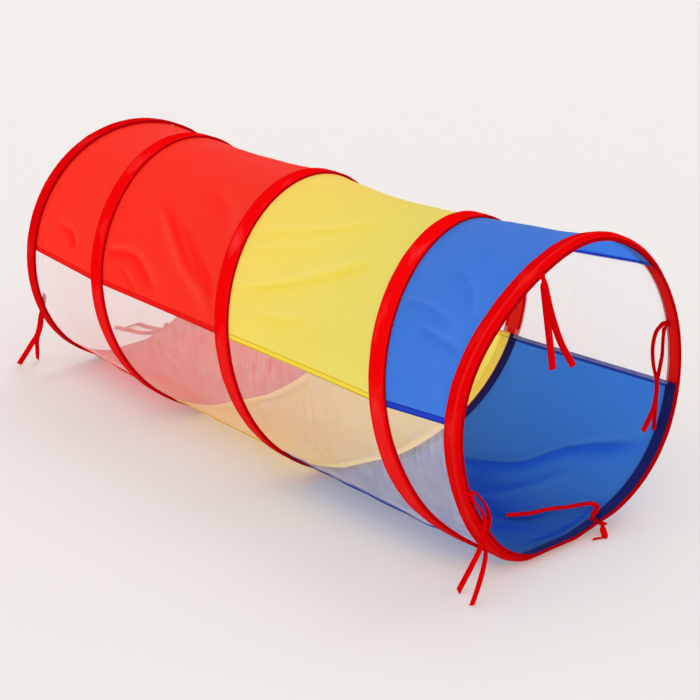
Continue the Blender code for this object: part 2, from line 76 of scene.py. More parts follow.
tunnel = {
    "radius": 0.240,
    "frontFace": 0.5828005,
    "backFace": -0.5771995,
    "sideShift": -0.00286,
    "endTapeWidth": 0.028,
    "coilTapeWidth": 0.034,
    "stackHeight": 0.0052,  # cloth, tape and wire together
    "blendLength": 0.110,
    "tautLength": 0.300,
    "coilPitch": 0.361,
    "coilStart": 0.068,
    "coilPull": 0.059,
    "coilPullAngle": 20,
    "coilPullFade": 40,
    # Where the coil's tape strays from its line: angle, width, drift
    "coilStray": ((50, 20, 0.0125), (115, 45, 0.005), (480, 45, 0.006), (812, 36, 0.008)),
    "strayStart": 14,
    "coilFirst": 27.53,
    "coilLast": 1070.54,
    "restHalfAngle": 10,
    "restFadeAngle": 25,
    "floorNearSeam": 30,
    "nearTopSeam": 96,
    "topFarSeam": 226,
    "farFloorSeam": 278,
    "foldKeep": 0.0459,  # share of its length a bay keeps when the tunnel is folded
}


def signedTurn(angle, middle=0.0):
    # Degrees from the middle, -180 to 180
    return (np.asarray(angle, float) - middle + 180) % 360 - 180


def arcLength(angle):
    return np.radians(angle) * tunnel["radius"]


def ease(value):
    value = np.clip(value, 0.0, 1.0)
    return value * value * (3 - 2 * value)


class Hoop:
    # One hoop's outline, out of round by a few lobes, and how it leans and is bent
    def __init__(self, growth, lobes, aside, turn, tip, bend):
        self.growth, self.lobes = growth, lobes
        self.turn, self.tip, self.bend = turn, tip, bend
        self.lift = self.shift = 0.0
        y, z = self.spot(np.arange(0, 360, 10.0), 0.0)
        restDip = tunnel["radius"] * (1 - math.cos(math.radians(tunnel["restHalfAngle"])))
        self.lift = -z.min() - restDip
        self.shift = aside - (y.max() - y.min()) / 2 - y.min() + tunnel["sideShift"]

    def spot(self, angle, height):
        around = np.radians(angle)
        share = self.growth
        for count, (cosine, sine) in self.lobes.items():
            share = share + cosine * np.cos(count * around) + sine * np.sin(count * around)
        radius = tunnel["radius"] * share + height
        return -radius * np.sin(around) + self.shift, -radius * np.cos(around) + self.lift

    def lean(self, angle):
        around = np.radians(angle)
        slope = tunnel["radius"] * (self.turn * np.sin(around) - self.tip * np.cos(around))
        return slope + self.bend[0] * np.cos(2 * around) + self.bend[1] * np.sin(2 * around)


frontHoop = Hoop(
    1.02, {2: (-0.017, 0.001), 4: (-0.003, 0.016), 5: (-0.009, 0.006)},
    0.005, 0.0275, 0.0, (-0.0030, -0.0036),
)
coilHoop = Hoop(
    1.0, {2: (-0.031, 0.010), 3: (-0.011, 0.008)}, 0.0, 0.0405, -0.0195, (0.0022, 0.0011)
)
backHoop = Hoop(0.99, {2: (-0.019, 0.015), 3: (0.007, 0.011)}, 0.009, 0.0575, 0.0372, (0.0, 0.0))


def frontRingX(angle, depth):
    return tunnel["frontFace"] - depth + frontHoop.lean(angle)


def backRingX(angle, depth):
    return tunnel["backFace"] + depth + backHoop.lean(angle)


def coilX(angle):
    pull = tunnel["coilPull"] * np.exp((tunnel["coilPullAngle"] - angle) / tunnel["coilPullFade"])
    wound = tunnel["coilStart"] + tunnel["coilPitch"] * angle / 360 - pull
    for spot, width, amount in tunnel["coilStray"]:
        started = ease((angle - tunnel["coilFirst"]) / tunnel["strayStart"])
        wound = wound + amount * started * np.exp(-(((angle - spot) / width) ** 2))
    return tunnel["frontFace"] - wound + coilHoop.lean(angle)


def tautReach(angle):
    # How far a ring's outline takes to fade into the coil's where the cloth is pulled straight
    turn = np.mod(angle, 360)
    half = tunnel["coilTapeWidth"] / 2
    least, most = tunnel["blendLength"], tunnel["tautLength"]
    front = tunnel["frontFace"] - tunnel["endTapeWidth"] - half - coilX(np.maximum(turn, 28))
    back = coilX(720 + np.minimum(turn, 350)) - half - tunnel["backFace"] - tunnel["endTapeWidth"]
    front = least + (np.clip(front, least, most) - least) * ease((340 - turn) / 50)
    back = least + (np.clip(back, least, most) - least) * ease(turn / 25)
    return front, back


def shellPoint(angle, x, height, taut=False):
    # A point on the tunnel at x, height metres outside the cloth. The CAD's outline fades in
    # a soft curve; taut cloth runs straight from the ring to the coil.
    parts = [np.asarray(part, float) for part in (angle, x, height)]
    angle, x, height = np.broadcast_arrays(*parts)
    fromFront = tunnel["frontFace"] - tunnel["endTapeWidth"] - x
    fromBack = x - tunnel["backFace"] - tunnel["endTapeWidth"]
    if taut:
        frontReach, backReach = tautReach(angle)
        frontShare = np.clip(1 - fromFront / frontReach, 0, 1)
        backShare = np.clip(1 - fromBack / backReach, 0, 1)
    else:
        frontShare = ease(1 - fromFront / tunnel["blendLength"])
        backShare = ease(1 - fromBack / tunnel["blendLength"])
    shares = (frontShare, 1 - frontShare - backShare, backShare)
    fromOutside = height - tunnel["stackHeight"]
    y = z = 0.0
    for share, hoop in zip(shares, (frontHoop, coilHoop, backHoop)):
        spotY, spotZ = hoop.spot(angle, fromOutside)
        y = y + share * spotY
        z = z + share * spotZ
    return np.stack([x, y, np.maximum(z, 0.0003 - fromOutside)], -1)


# Shader nodes


class Value:
    # A socket: the usual operators on it add the Math node that they stand for
    def __init__(self, finish, socket):
        self.finish, self.socket = finish, socket

    def math(self, operation, *others):
        return self.finish.node("ShaderNodeMath", {"operation": operation}, [self, *others])

    def flipped(self, operation, other):
        return self.finish.node("ShaderNodeMath", {"operation": operation}, [other, self])

    def __add__(self, other):
        return self.math("ADD", other)

    __radd__ = __add__

    def __sub__(self, other):
        return self.math("SUBTRACT", other)

    def __rsub__(self, other):
        return self.flipped("SUBTRACT", other)

    def __mul__(self, other):
        return self.math("MULTIPLY", other)

    __rmul__ = __mul__

    def __truediv__(self, other):
        return self.math("DIVIDE", other)

    def __rtruediv__(self, other):
        return self.flipped("DIVIDE", other)

    def sine(self):
        return self.math("SINE")

    def size(self):
        return self.math("ABSOLUTE")

    def least(self, other):
        return self.math("MINIMUM", other)

    def most(self, other):
        return self.math("MAXIMUM", other)

    def over(self, other):
        return self.math("GREATER_THAN", other)

    def clamped(self):
        return self.finish.node("ShaderNodeClamp", {}, {0: self})


def addNode(tree, kind, settings, inputs, output=0):
    # A node with its settings and inputs; a socket or a Value among the inputs is linked to it
    made = tree.nodes.new(kind)
    for name, value in settings.items():
        setattr(made, name, value)
    for key, value in inputs.items() if isinstance(inputs, dict) else enumerate(inputs):
        value = getattr(value, "socket", value)
        if isinstance(value, bpy.types.NodeSocket):
            tree.links.new(value, made.inputs[key])
        else:
            made.inputs[key].default_value = value
    return made.outputs[output] if made.outputs else None


class Finish:
    # A material or a world under construction
    def __init__(self, name, group="materials"):
        self.made = getattr(bpy.data, group).new(name)
        self.made.use_nodes = True
        self.tree = self.made.node_tree
        self.tree.nodes.clear()

    def node(self, kind, settings=None, inputs=None, output=0):
        return Value(self, addNode(self.tree, kind, settings or {}, inputs or {}, output))

    def uv(self, name):
        return self.node("ShaderNodeUVMap", {"uv_map": name})

    def place(self, output="Object"):
        return self.node("ShaderNodeTexCoord", output=output)

    def split(self, vector, count=2):
        made = self.node("ShaderNodeSeparateXYZ", {}, [vector]).socket.node
        return [Value(self, made.outputs[axis]) for axis in range(count)]

    def mixColour(self, factor, first, second):
        values = {0: factor, 6: first, 7: second}
        return self.node("ShaderNodeMix", {"data_type": "RGBA"}, values, 2)

    def noise(self, place, scale, detail=2.0, distortion=0.0):
        values = {"Vector": place, "Scale": scale, "Detail": detail, "Distortion": distortion}
        return self.node("ShaderNodeTexNoise", {}, values)

    def scaled(self, place, *scales):
        return self.node("ShaderNodeVectorMath", {"operation": "MULTIPLY"}, [place, scales])

    def bump(self, height, strength, distance, below=None):
        values = {"Strength": strength, "Distance": distance, "Height": height}
        return self.node("ShaderNodeBump", {}, values | ({"Normal": below} if below else {}))

    def body(self, colour, roughness, normal, specular=0.5, metallic=0.0):
        values = {"Base Color": colour, "Roughness": roughness, "Normal": normal}
        values |= {"Specular IOR Level": specular, "Metallic": metallic}
        return self.node("ShaderNodeBsdfPrincipled", {}, values)

    def mixShader(self, share, first, second):
        return self.node("ShaderNodeMixShader", {}, [share, first, second])

    def litThrough(self, share, body, glow, normal=None):
        values = {"Color": glow} | ({"Normal": normal} if normal else {})
        return self.mixShader(share, body, self.node("ShaderNodeBsdfTranslucent", {}, values))

    def seenDirectly(self):
        cameraRay = self.node("ShaderNodeLightPath", output="Is Camera Ray")
        return cameraRay.most(self.node("ShaderNodeLightPath", output="Is Glossy Ray"))

    def finished(self, shader, output="Material"):
        self.node(f"ShaderNodeOutput{output}", {}, {0: shader})
        return self.made


def rgb(*screen):
    # A colour as a screen shows it, 0 to 255, made linear
    def linear(part):
        return part / 12.92 if part <= 0.04045 else ((part + 0.055) / 1.055) ** 2.4

    return (*(linear(part / 255) for part in screen), 1.0)


def clothFinish(name, look):
    # Thin coated polyester: a plain weave, faint streaks along the threads, fine crinkles.
    # It is darker along the stitching. Painted shade darkens its fold valleys and where a tape
    # lies behind it, a painted highlight lightens the fold crests, and its doubled hems are
    # deeper, partly with painted shade.
    finish = Finish(name)
    place = finish.uv("cloth")
    around, along = finish.split(place)
    front, back = finish.split(finish.uv("bands"))
    # valley: painted shade in the creases, and below zero a painted highlight on their crests
    valley, seam = finish.split(finish.uv("marks"))
    fromTape = front.least(back)
    taped = ((1 - fromTape) * look["tapeSharpness"]).clamped()
    outer = (1 - (seam - look["seamIn"]).size() / look["lineWidth"]).clamped()
    inner = (1 - (seam - look["hemIn"]).size() / look["lineWidth"]).clamped()
    stitched = outer.most(inner)
    hemmed = ((look["hemEdge"] - seam) * look["hemSharpness"]).clamped()
    sewn = (1 - (fromTape - look["sewnAt"]).size() * look["sewnSharpness"]).clamped()
    threads = 2 * math.pi / look["threadPitch"]
    weave = (around * threads).sine() * (along * threads).sine()
    streaks = finish.noise(finish.scaled(place, *look["streakScale"]), 1.0, 3.0)
    crinkle = finish.noise(place, look["crinkleScale"], 4.0, 0.9)
    patches = finish.noise(place, look["patchScale"])
    tone = finish.mixColour(patches, look["colour"], look["shade"])
    for share, colour in (
        (streaks * look["streak"], "shade"),
        # Painted shade in the fold valleys, then a painted highlight on the fold crests
        ((valley * look["valley"]).clamped(), "deep"),
        ((valley * -1.0).clamped(), "lit"),
        # The doubled hem's deeper tone, partly painted shade
        (hemmed * look["hemmed"], "hem"),
        # Painted shade where a tape behind the cloth keeps back the light
        (taped * look["taped"], "tapeShade"),
        ((stitched * look["stitched"] + sewn * look["sewn"]).clamped(), "line"),
    ):
        tone = finish.mixColour(share, tone, look[colour])
    bumped = finish.bump(crinkle, look["crinkleStrength"], look["crinkleDepth"])
    pressed = weave - stitched * look["stitchDepth"]
    bumped = finish.bump(pressed, look["weaveStrength"], look["weaveDepth"], bumped)
    body = finish.body(tone, crinkle * 0.12 + look["roughness"], bumped, look["specular"])
    share = look["through"] * (1 - taped * look["blocked"]) * (1 - (valley * 0.3).clamped())
    return finish.finished(finish.litThrough(share, body, look["glow"], bumped))


def netFinish(name, look):
    # Fine knitted net: two crossing sets of threads with clear holes between, denser here
    # and there in streaks that follow the hoops
    finish = Finish(name)
    place = finish.uv("cloth")
    around, along = finish.split(place)
    turns = 2 * math.pi / look["pitch"]
    wobble = finish.noise(place, 40.0, 1.0) * look["wobble"]
    first = ((around + along) * turns + wobble).sine()
    second = ((around - along) * turns + wobble).sine()
    threads = first.over(look["threadLevel"]).most(second.over(look["threadLevel"]))
    streaks = finish.noise(finish.scaled(place, *look["streakScale"]), 1.0, 3.0, 0.4)
    ridges = finish.noise(finish.scaled(place, *look["ridgeScale"]), 1.0, 2.0, 0.8)
    hatch = ((streaks - 0.5) * look["streak"] + (ridges - 0.5) * look["ridge"]) * 2
    cover = (threads * look["threadCover"] + (hatch + look["veil"])).clamped()
    tone = finish.mixColour(streaks, look["colour"], look["shade"])
    bumped = finish.bump(threads, 0.3, 0.0001, finish.bump(ridges, 0.3, 0.0006))
    body = finish.body(tone, look["roughness"], bumped, look["specular"])
    yarn = finish.litThrough(look["through"], body, look["glow"])
    return finish.finished(finish.mixShader(cover, finish.node("ShaderNodeBsdfTransparent"), yarn))


def ribbonFinish(name, look):
    # Narrow woven ribbon or binding tape: ribs across it and uneven patches along it
    finish = Finish(name)
    place = finish.uv("cloth")
    around, along = finish.split(place)
    ribs = (around * (2 * math.pi / look["ribPitch"])).sine()
    threads = (along * (2 * math.pi / look["threadPitch"])).sine()
    patches = finish.noise(finish.scaled(place, 0.35, 1.0, 1.0), look["patchScale"], 3.0, 0.6)
    streaks = finish.noise(finish.scaled(place, *look["streakScale"]), 1.0)
    tone = finish.mixColour(patches, look["colour"], look["shade"])
    tone = finish.mixColour(streaks * look["streak"], tone, look["shade"])
    share = look["through"]
    if look["edged"]:
        # Painted shade on the folded edges and a painted dark outline along them, painted light
        # where the light comes through over the windows, a painted highlight along the front
        # ring's wire, and paler random blotches
        rim, clear = finish.split(finish.uv("marks"))
        crest = finish.split(finish.uv("bands"))[0]
        blotches = finish.noise(finish.scaled(place, 0.5, 1.0, 1.0), 26.0)
        folded = ((look["foldWidth"] - rim) * look["foldSharpness"]).clamped()
        outline = ((look["outlineWidth"] - rim) * look["outlineSharpness"]).clamped()
        flat = 1 - folded
        for part, colour in (
            (folded * look["folded"], "shade"),
            ((flat * clear * (blotches * 0.6 + 0.45)).clamped(), "paleAndPaintedLight"),
            ((flat * (blotches - 0.55).most(0.0) * 2.4).clamped(), "paleAndPaintedLight"),
            (crest * look["crest"], "paleAndPaintedLight"),
            (outline * look["outlined"], "deep"),
        ):
            tone = finish.mixColour(part, tone, look[colour])
        share = share * (1 - folded * look["folded"]) * (1 + clear * look["clearer"])
    bumped = finish.bump(patches, 0.5, look["patchDepth"])
    bumped = finish.bump(ribs + threads * 0.5, 0.25, look["ribDepth"], bumped)
    body = finish.body(tone, patches * 0.15 + look["roughness"], bumped, look["specular"])
    return finish.finished(finish.litThrough(share, body, look["glow"], bumped))


def threadFinish(name, look):
    # Sewing thread: twisted plies with a slight shine
    finish = Finish(name)
    plies = finish.noise(finish.place(), 900.0)
    tone = finish.mixColour(plies, look["colour"], look["shade"])
    bumped = finish.bump(plies, 0.3, 0.0001)
    return finish.finished(finish.body(tone, plies * 0.2 + 0.45, bumped, 0.3))


def steelFinish(name, look):
    # Drawn spring steel: fine scratches along it and a little dulling
    finish = Finish(name)
    place = finish.place()
    dulling = finish.noise(place, 90.0, 4.0)
    scratches = finish.noise(finish.scaled(place, 1.0, 6.0, 6.0), 700.0, 3.0)
    tone = finish.mixColour(dulling, look["colour"], look["shade"])
    bumped = finish.bump(scratches, 0.2, 0.00005)
    roughness = dulling * 0.2 + look["roughness"]
    return finish.finished(finish.body(tone, roughness, bumped, metallic=look["metallic"]))


redClothLook = {
    "colour": rgb(255, 68, 52), "shade": rgb(255, 54, 38),
    # deep: painted shade in the fold valleys; lit: painted highlight on the fold crests
    "deep": rgb(246, 4, 0), "lit": rgb(255, 96, 82),
    # The tone over a tape is painted shade where the tape behind keeps back the light
    "tapeShade": rgb(225, 4, 8), "hem": rgb(240, 14, 8), "line": rgb(190, 0, 4),
    "glow": rgb(255, 46, 30),
    "through": 0.6, "blocked": 0.5, "taped": 0.8,
    "valley": 0.9, "streak": 0.2,
    "roughness": 0.42, "specular": 0.06,
    "threadPitch": 0.0005, "weaveStrength": 0.12, "weaveDepth": 0.00005,
    "crinkleScale": 55.0, "crinkleStrength": 0.22, "crinkleDepth": 0.0012,
    "streakScale": (260.0, 14.0, 1.0), "patchScale": 9.0,
    "seamIn": 0.0013, "hemIn": 0.0086, "lineWidth": 0.0011, "hemEdge": 0.0094,
    # hemmed: how far the hem takes its deeper tone, partly painted shade
    "hemmed": 0.85, "stitched": 0.75, "stitchDepth": 6, "sewn": 0.3, "sewnAt": 0.86,
    "tapeSharpness": 25, "hemSharpness": 3000, "sewnSharpness": 28,
}
yellowClothLook = redClothLook | {
    "colour": rgb(253, 244, 128), "shade": rgb(250, 238, 112),
    "deep": rgb(238, 214, 62), "lit": rgb(255, 246, 160),
    "tapeShade": rgb(250, 216, 70), "hem": rgb(252, 232, 84), "line": rgb(176, 138, 14),
    "glow": rgb(255, 246, 112),
    "blocked": 0.9, "taped": 0.3,
}
blueClothLook = redClothLook | {
    "colour": rgb(92, 150, 240), "shade": rgb(74, 132, 230),
    "deep": rgb(30, 80, 192), "lit": rgb(128, 172, 250),
    "tapeShade": rgb(18, 10, 92), "hem": rgb(44, 72, 206), "line": rgb(14, 20, 120),
    "glow": rgb(48, 122, 235),
    "blocked": 0.85, "taped": 0.35, "crinkleStrength": 0.4,
}
blueFloorLook = blueClothLook | {
    "colour": rgb(70, 134, 212), "shade": rgb(56, 120, 204),
    "deep": rgb(0, 72, 204), "lit": rgb(92, 154, 232),
    # The floor's hem faces down: its dark tone is mostly painted shade
    "hem": rgb(72, 80, 146), "line": rgb(14, 10, 70), "glow": rgb(54, 118, 212),
    "taped": 0.95,
}
redFloorLook = redClothLook | {
    "colour": rgb(240, 52, 58), "shade": rgb(230, 42, 50), "glow": rgb(255, 66, 66),
    "through": 0.72,
}
yellowFloorLook = yellowClothLook | {
    "colour": rgb(255, 250, 128), "shade": rgb(252, 242, 114), "glow": rgb(255, 236, 108),
    "through": 0.72,
}
tapeLook = {
    "colour": rgb(240, 8, 10), "shade": rgb(230, 3, 6),
    # deep: painted dark outline; the pale tone: painted light and highlight, and random blotches
    "deep": rgb(140, 0, 8), "paleAndPaintedLight": rgb(240, 70, 66), "glow": rgb(255, 62, 56),
    "through": 0.12, "crest": 0.75,
    "roughness": 0.6, "specular": 0.0,
    "ribPitch": 0.0008, "ribDepth": 0.00006, "threadPitch": 0.0004,
    "patchScale": 45.0, "patchDepth": 0.0007, "streak": 0.35, "streakScale": (30.0, 700.0, 1.0),
    # folded: painted shade on the doubled edges, which let less light through
    "edged": True, "folded": 0.6, "foldWidth": 0.0062, "foldSharpness": 900,
    "outlined": 0.75, "outlineWidth": 0.0016, "outlineSharpness": 1600, "clearer": 3.5,
}
ringTapeLook = tapeLook | {
    "colour": rgb(222, 4, 8), "shade": rgb(212, 1, 5), "paleAndPaintedLight": rgb(232, 50, 46),
    "crest": 0.5,
}
ribbonLook = tapeLook | {
    "colour": rgb(222, 5, 12), "shade": rgb(206, 1, 6),
    "through": 0.15, "ribPitch": 0.0006, "patchScale": 50.0, "edged": False,
}
netLook = {
    "colour": rgb(242, 238, 240), "shade": rgb(236, 230, 234), "glow": rgb(244, 240, 242),
    "through": 0.6, "roughness": 0.55, "specular": 0.2,
    "pitch": 0.0018, "wobble": 0.9, "threadLevel": 0.68, "threadCover": 0.80,
    "streak": 0.38, "streakScale": (16.0, 300.0, 1.0),
    "ridge": 0.12, "ridgeScale": (55.0, 26.0, 1.0), "veil": 0.09,
}
threadLooks = {
    "red_cloth": {"colour": rgb(196, 6, 8), "shade": rgb(150, 0, 4)},
    "yellow_cloth": {"colour": rgb(206, 160, 20), "shade": rgb(160, 118, 8)},
    "blue_cloth": {"colour": rgb(24, 34, 120), "shade": rgb(14, 20, 84)},
    "red_tape": {"colour": rgb(176, 2, 8), "shade": rgb(140, 0, 4)},
}
steelLook = {
    "colour": rgb(196, 198, 204), "shade": rgb(150, 152, 160), "metallic": 1.0, "roughness": 0.28,
}
capLook = {
    "colour": rgb(46, 46, 50), "shade": rgb(30, 30, 33), "metallic": 0.0, "roughness": 0.45,
}

finishes = {
    "red_cloth": clothFinish("redCloth", redClothLook),
    "yellow_cloth": clothFinish("yellowCloth", yellowClothLook),
    "blue_cloth": clothFinish("blueCloth", blueClothLook),
    "blue_floor": clothFinish("blueFloorCloth", blueFloorLook),
    "red_floor": clothFinish("redFloorCloth", redFloorLook),
    "yellow_floor": clothFinish("yellowFloorCloth", yellowFloorLook),
    "white_net": netFinish("whiteNet", netLook),
    "red_tape": ribbonFinish("redBinding", tapeLook),
    "ring_tape": ribbonFinish("redRingBinding", ringTapeLook),
    "red_ribbon": ribbonFinish("redRibbon", ribbonLook),
    "spring_steel": steelFinish("springSteel", steelLook),
    "sleeve_steel": steelFinish("sleeveSteel", steelLook | {"roughness": 0.36}),
    "cap_plastic": steelFinish("capPlastic", capLook),
}
threadFinishes = {
    slot: threadFinish(f"{slot}Thread", look) for slot, look in threadLooks.items()
}
print("finishes made")

# Mesh helpers


def meshFromGrid(name, points, maps, slot, closed=False):
    # points and maps are rows by columns; the last row joins the first where closed
    rows, columns = points.shape[:2]
    spans = rows if closed else rows - 1
    mesh = bpy.data.meshes.new(name)
    row, column = np.meshgrid(np.arange(spans), np.arange(columns - 1), indexing="ij")
    after = (row + 1) % rows
    # Each face's corners, in order
    around = ((0, 0), (1, 0), (1, 1), (0, 1))
    faces = np.stack([(after if down else row) * columns + column + on for down, on in around], -1)
    mesh.from_pydata(points.reshape(-1, 3).tolist(), [], faces.reshape(-1, 4).tolist())
    for label, values in maps.items():
        wide = np.stack([values[row + down, column + on] for down, on in around], 2)
        layer = mesh.uv_layers.new(name=label)
        layer.data.foreach_set("uv", wide.reshape(-1).astype(np.float32))
    mesh.shade_smooth()
    piece = bpy.data.objects.new(name, mesh)
    mesh.materials.append(finishes[slot])
    bpy.context.scene.collection.objects.link(piece)
    return piece


def distances(points):
    steps = np.linalg.norm(np.diff(points, axis=0), axis=-1)
    return np.concatenate([[0.0], np.cumsum(steps)])


def sweep(name, centre, across, out, profile, slot):
    # A closed outline of (across, out) corners carried along a line, with closed ends
    profile = np.asarray(profile, float)
    ring = np.vstack([profile, profile[:1]])
    points = (
        centre[:, None, :]
        + across[:, None, :] * ring[None, :, :1]
        + out[:, None, :] * ring[None, :, 1:]
    )
    lengths = distances(centre)
    texture = np.stack(np.meshgrid(lengths, distances(ring), indexing="ij"), -1)
    piece = meshFromGrid(name, points, {"cloth": texture}, slot)
    shape = bmesh.new()
    shape.from_mesh(piece.data)
    bmesh.ops.remove_doubles(shape, verts=shape.verts, dist=1e-6)
    bmesh.ops.holes_fill(shape, edges=[e for e in shape.edges if e.is_boundary], sides=0)
    bmesh.ops.recalc_face_normals(shape, faces=shape.faces)
    shape.to_mesh(piece.data)
    shape.free()
    return piece


def fairLine(points, step):
    # Points every step along a rounded curve through the given ones
    points = np.asarray(points, float)
    ends = np.vstack([2 * points[0] - points[1], points, 2 * points[-1] - points[-2]])
    share = np.linspace(0, 1, 24, endpoint=False)[:, None]
    fine = []
    for before, start, finish, after in zip(ends, ends[1:], ends[2:], ends[3:]):
        sway = 2 * before - 5 * start + 4 * finish - after
        twist = 3 * start - before - 3 * finish + after
        bent = 2 * start + (finish - before) * share + sway * share**2 + twist * share**3
        fine.append(0.5 * bent)
    fine = np.vstack([*fine, points[-1:]])
    lengths = distances(fine)
    count = max(3, round(lengths[-1] / step))
    wanted = np.linspace(0, lengths[-1], count + 1)
    return np.stack([np.interp(wanted, lengths, fine[:, axis]) for axis in range(3)], -1)


def unit(vectors):
    return vectors / np.maximum(np.linalg.norm(vectors, axis=-1, keepdims=True), 1e-9)


# Ribbon ties: each is one ribbon sewn inside a ring at its middle, with two loose tails

ribbon = {
    "width": 0.010,
    "thickness": 0.0005,
    "edgeRound": 0.35,
    "step": 0.0025,
    "sewnDepth": 0.018,
    "edgeDepth": 0.006,
    "straight": 0.005,
    "layerGap": 0.0015,
    "lyingHeight": 0.00035,
    "underCloth": 0.00115,
    "turningShare": 0.15,
    "cutSlant": 0.0030,
}

# A tail has its lay, the directions in which its width points near the ring and at the end, and
# its places as (outward, across, share of the sewn spot's height), the first two in mm. A stub
# lists (angle, depth, lift) places where the sewn end goes on inside. A knot sits at one step of
# the tail's line.
rings = {"front": (frontRingX, 1), "back": (backRingX, -1)}
facingFront = (0.65, 0.76, 0.0)
alongTunnel = (1.0, -0.06, 0.0)
nearEdgeOn = (0.92, -0.39, 0.0)
halfFacing = (0.98, -0.20, 0.0)
outerTurned = (0.35, 0.73, 0.58)
onCloth = (-0.68, 0.73, 0.20)
leftTailTurned = (0.69, 0.52, -0.51)
lyingTurned = (0.50, 0.50, 0.60)


def tail(lay, begin, end, *places, knot=None):
    return {"lay": lay, "spread": (begin, end), "places": places, "knot": knot}


ties = {
    "front_top_tie": {
        "end": "front", "angle": 156,
        "tails": (
            tail(
                "hanging", facingFront, facingFront,
                (6, 12, 0.92), (8, 21, 0.80), (9, 31, 0.68),
            ),
            tail(
                "hanging", facingFront, facingFront,
                (6, 23, 0.88), (8, 44, 0.77), (9, 73, 0.67),
            ),
        ),
    },
    "front_far_tie": {
        "end": "front", "angle": 255,
        "tails": (
            tail(
                "hanging", nearEdgeOn, alongTunnel,
                (-12, -19, 1.01), (-12, -34, 0.98), (-11, -41, 0.90), (-9, -38, 0.80),
                (-8, -29, 0.71), (-7, -30, 0.63), (-7, -35, 0.56), (-6, -57, 0.46),
            ),
            tail(
                "hanging", nearEdgeOn, halfFacing,
                (-14, -11, 0.98), (-14, -12, 0.91), (-13, -13, 0.84), (-11, -20, 0.76),
                (-10, -25, 0.70), (-9, -25, 0.60), (-9, -26, 0.52), (-8, -27, 0.44),
            ),
        ),
    },
    "front_floor_tie": {
        "end": "front", "angle": 341,
        "tails": (
            tail(
                "loose", facingFront, outerTurned,
                (10, -4, 0.66), (15, -5, 0.18), (16, -10, 0.00), (13, -19, 0.00), (10, -27, 0.00),
            ),
            tail(
                "loose", onCloth, onCloth,
                (-16, 3, 1.30), (-20, 15, 1.62), (-35, 20, 1.62), (-49, 8, 1.43), (-61, -5, 1.22),
                (-83, -23, 0.91), (-101, -47, 0.58), (-121, -77, 0.52),
            ),
        ),
    },
    "front_near_tie": {
        "end": "front", "angle": 72,
        "tails": (
            tail(
                "hanging", alongTunnel, alongTunnel,
                (13, 4, 1.03), (16, 17, 0.94), (16, 29, 0.82), (15, 34, 0.71), (13, 32, 0.62),
                (12, 27, 0.53), (10, 20, 0.42), (2, 13, 0.26), (-14, 6, 0.01),
                knot={"at": 44, "turns": 1.5, "width": 0.011, "depth": 0.006, "height": 0.005,
                      "skew": 0.002, "ribbon": 0.006},
            ),
            tail(
                "hanging", alongTunnel, halfFacing,
                (11, 5, 0.93), (13, 17, 0.84), (13, 26, 0.73), (12, 26, 0.64), (14, 21, 0.55),
                (17, 26, 0.43), (18, 21, 0.28), (26, 3, 0.15), (29, -11, 0.02),
            ),
        ),
    },
    "back_near_tie": {
        "end": "back", "angle": 63,
        "stub": ((75, 0.034, 0.004), (71, 0.025, 0.002), (66.5, 0.012, 0.0)),
        "tails": (
            tail(
                "loose", facingFront, leftTailTurned,
                (13, -5, 0.74), (18, -10, 0.58), (25, -15, 0.48), (48, -19, 0.25), (73, -22, 0.02),
            ),
            tail(
                "loose", facingFront, alongTunnel,
                (14, -4, 0.74), (23, -8, 0.52), (45, 3, 0.27), (73, 17, 0.02),
            ),
        ),
    },
    "back_floor_tie": {
        "end": "back", "angle": 338,
        "tails": (
            tail(
                "loose", lyingTurned, lyingTurned,
                (12, 1, 0.85), (22, 4, 0.35), (44, 3, 0.10), (68, -5, 0.10), (97, -11, 0.10),
                (97, -40, 0.10),
            ),
            tail(
                "loose", lyingTurned, lyingTurned,
                (12, -1, 0.85), (22, -7, 0.35), (33, -20, 0.15), (45, -33, 0.10), (70, -42, 0.10),
                (112, -57, 0.10),
            ),
        ),
    },
}


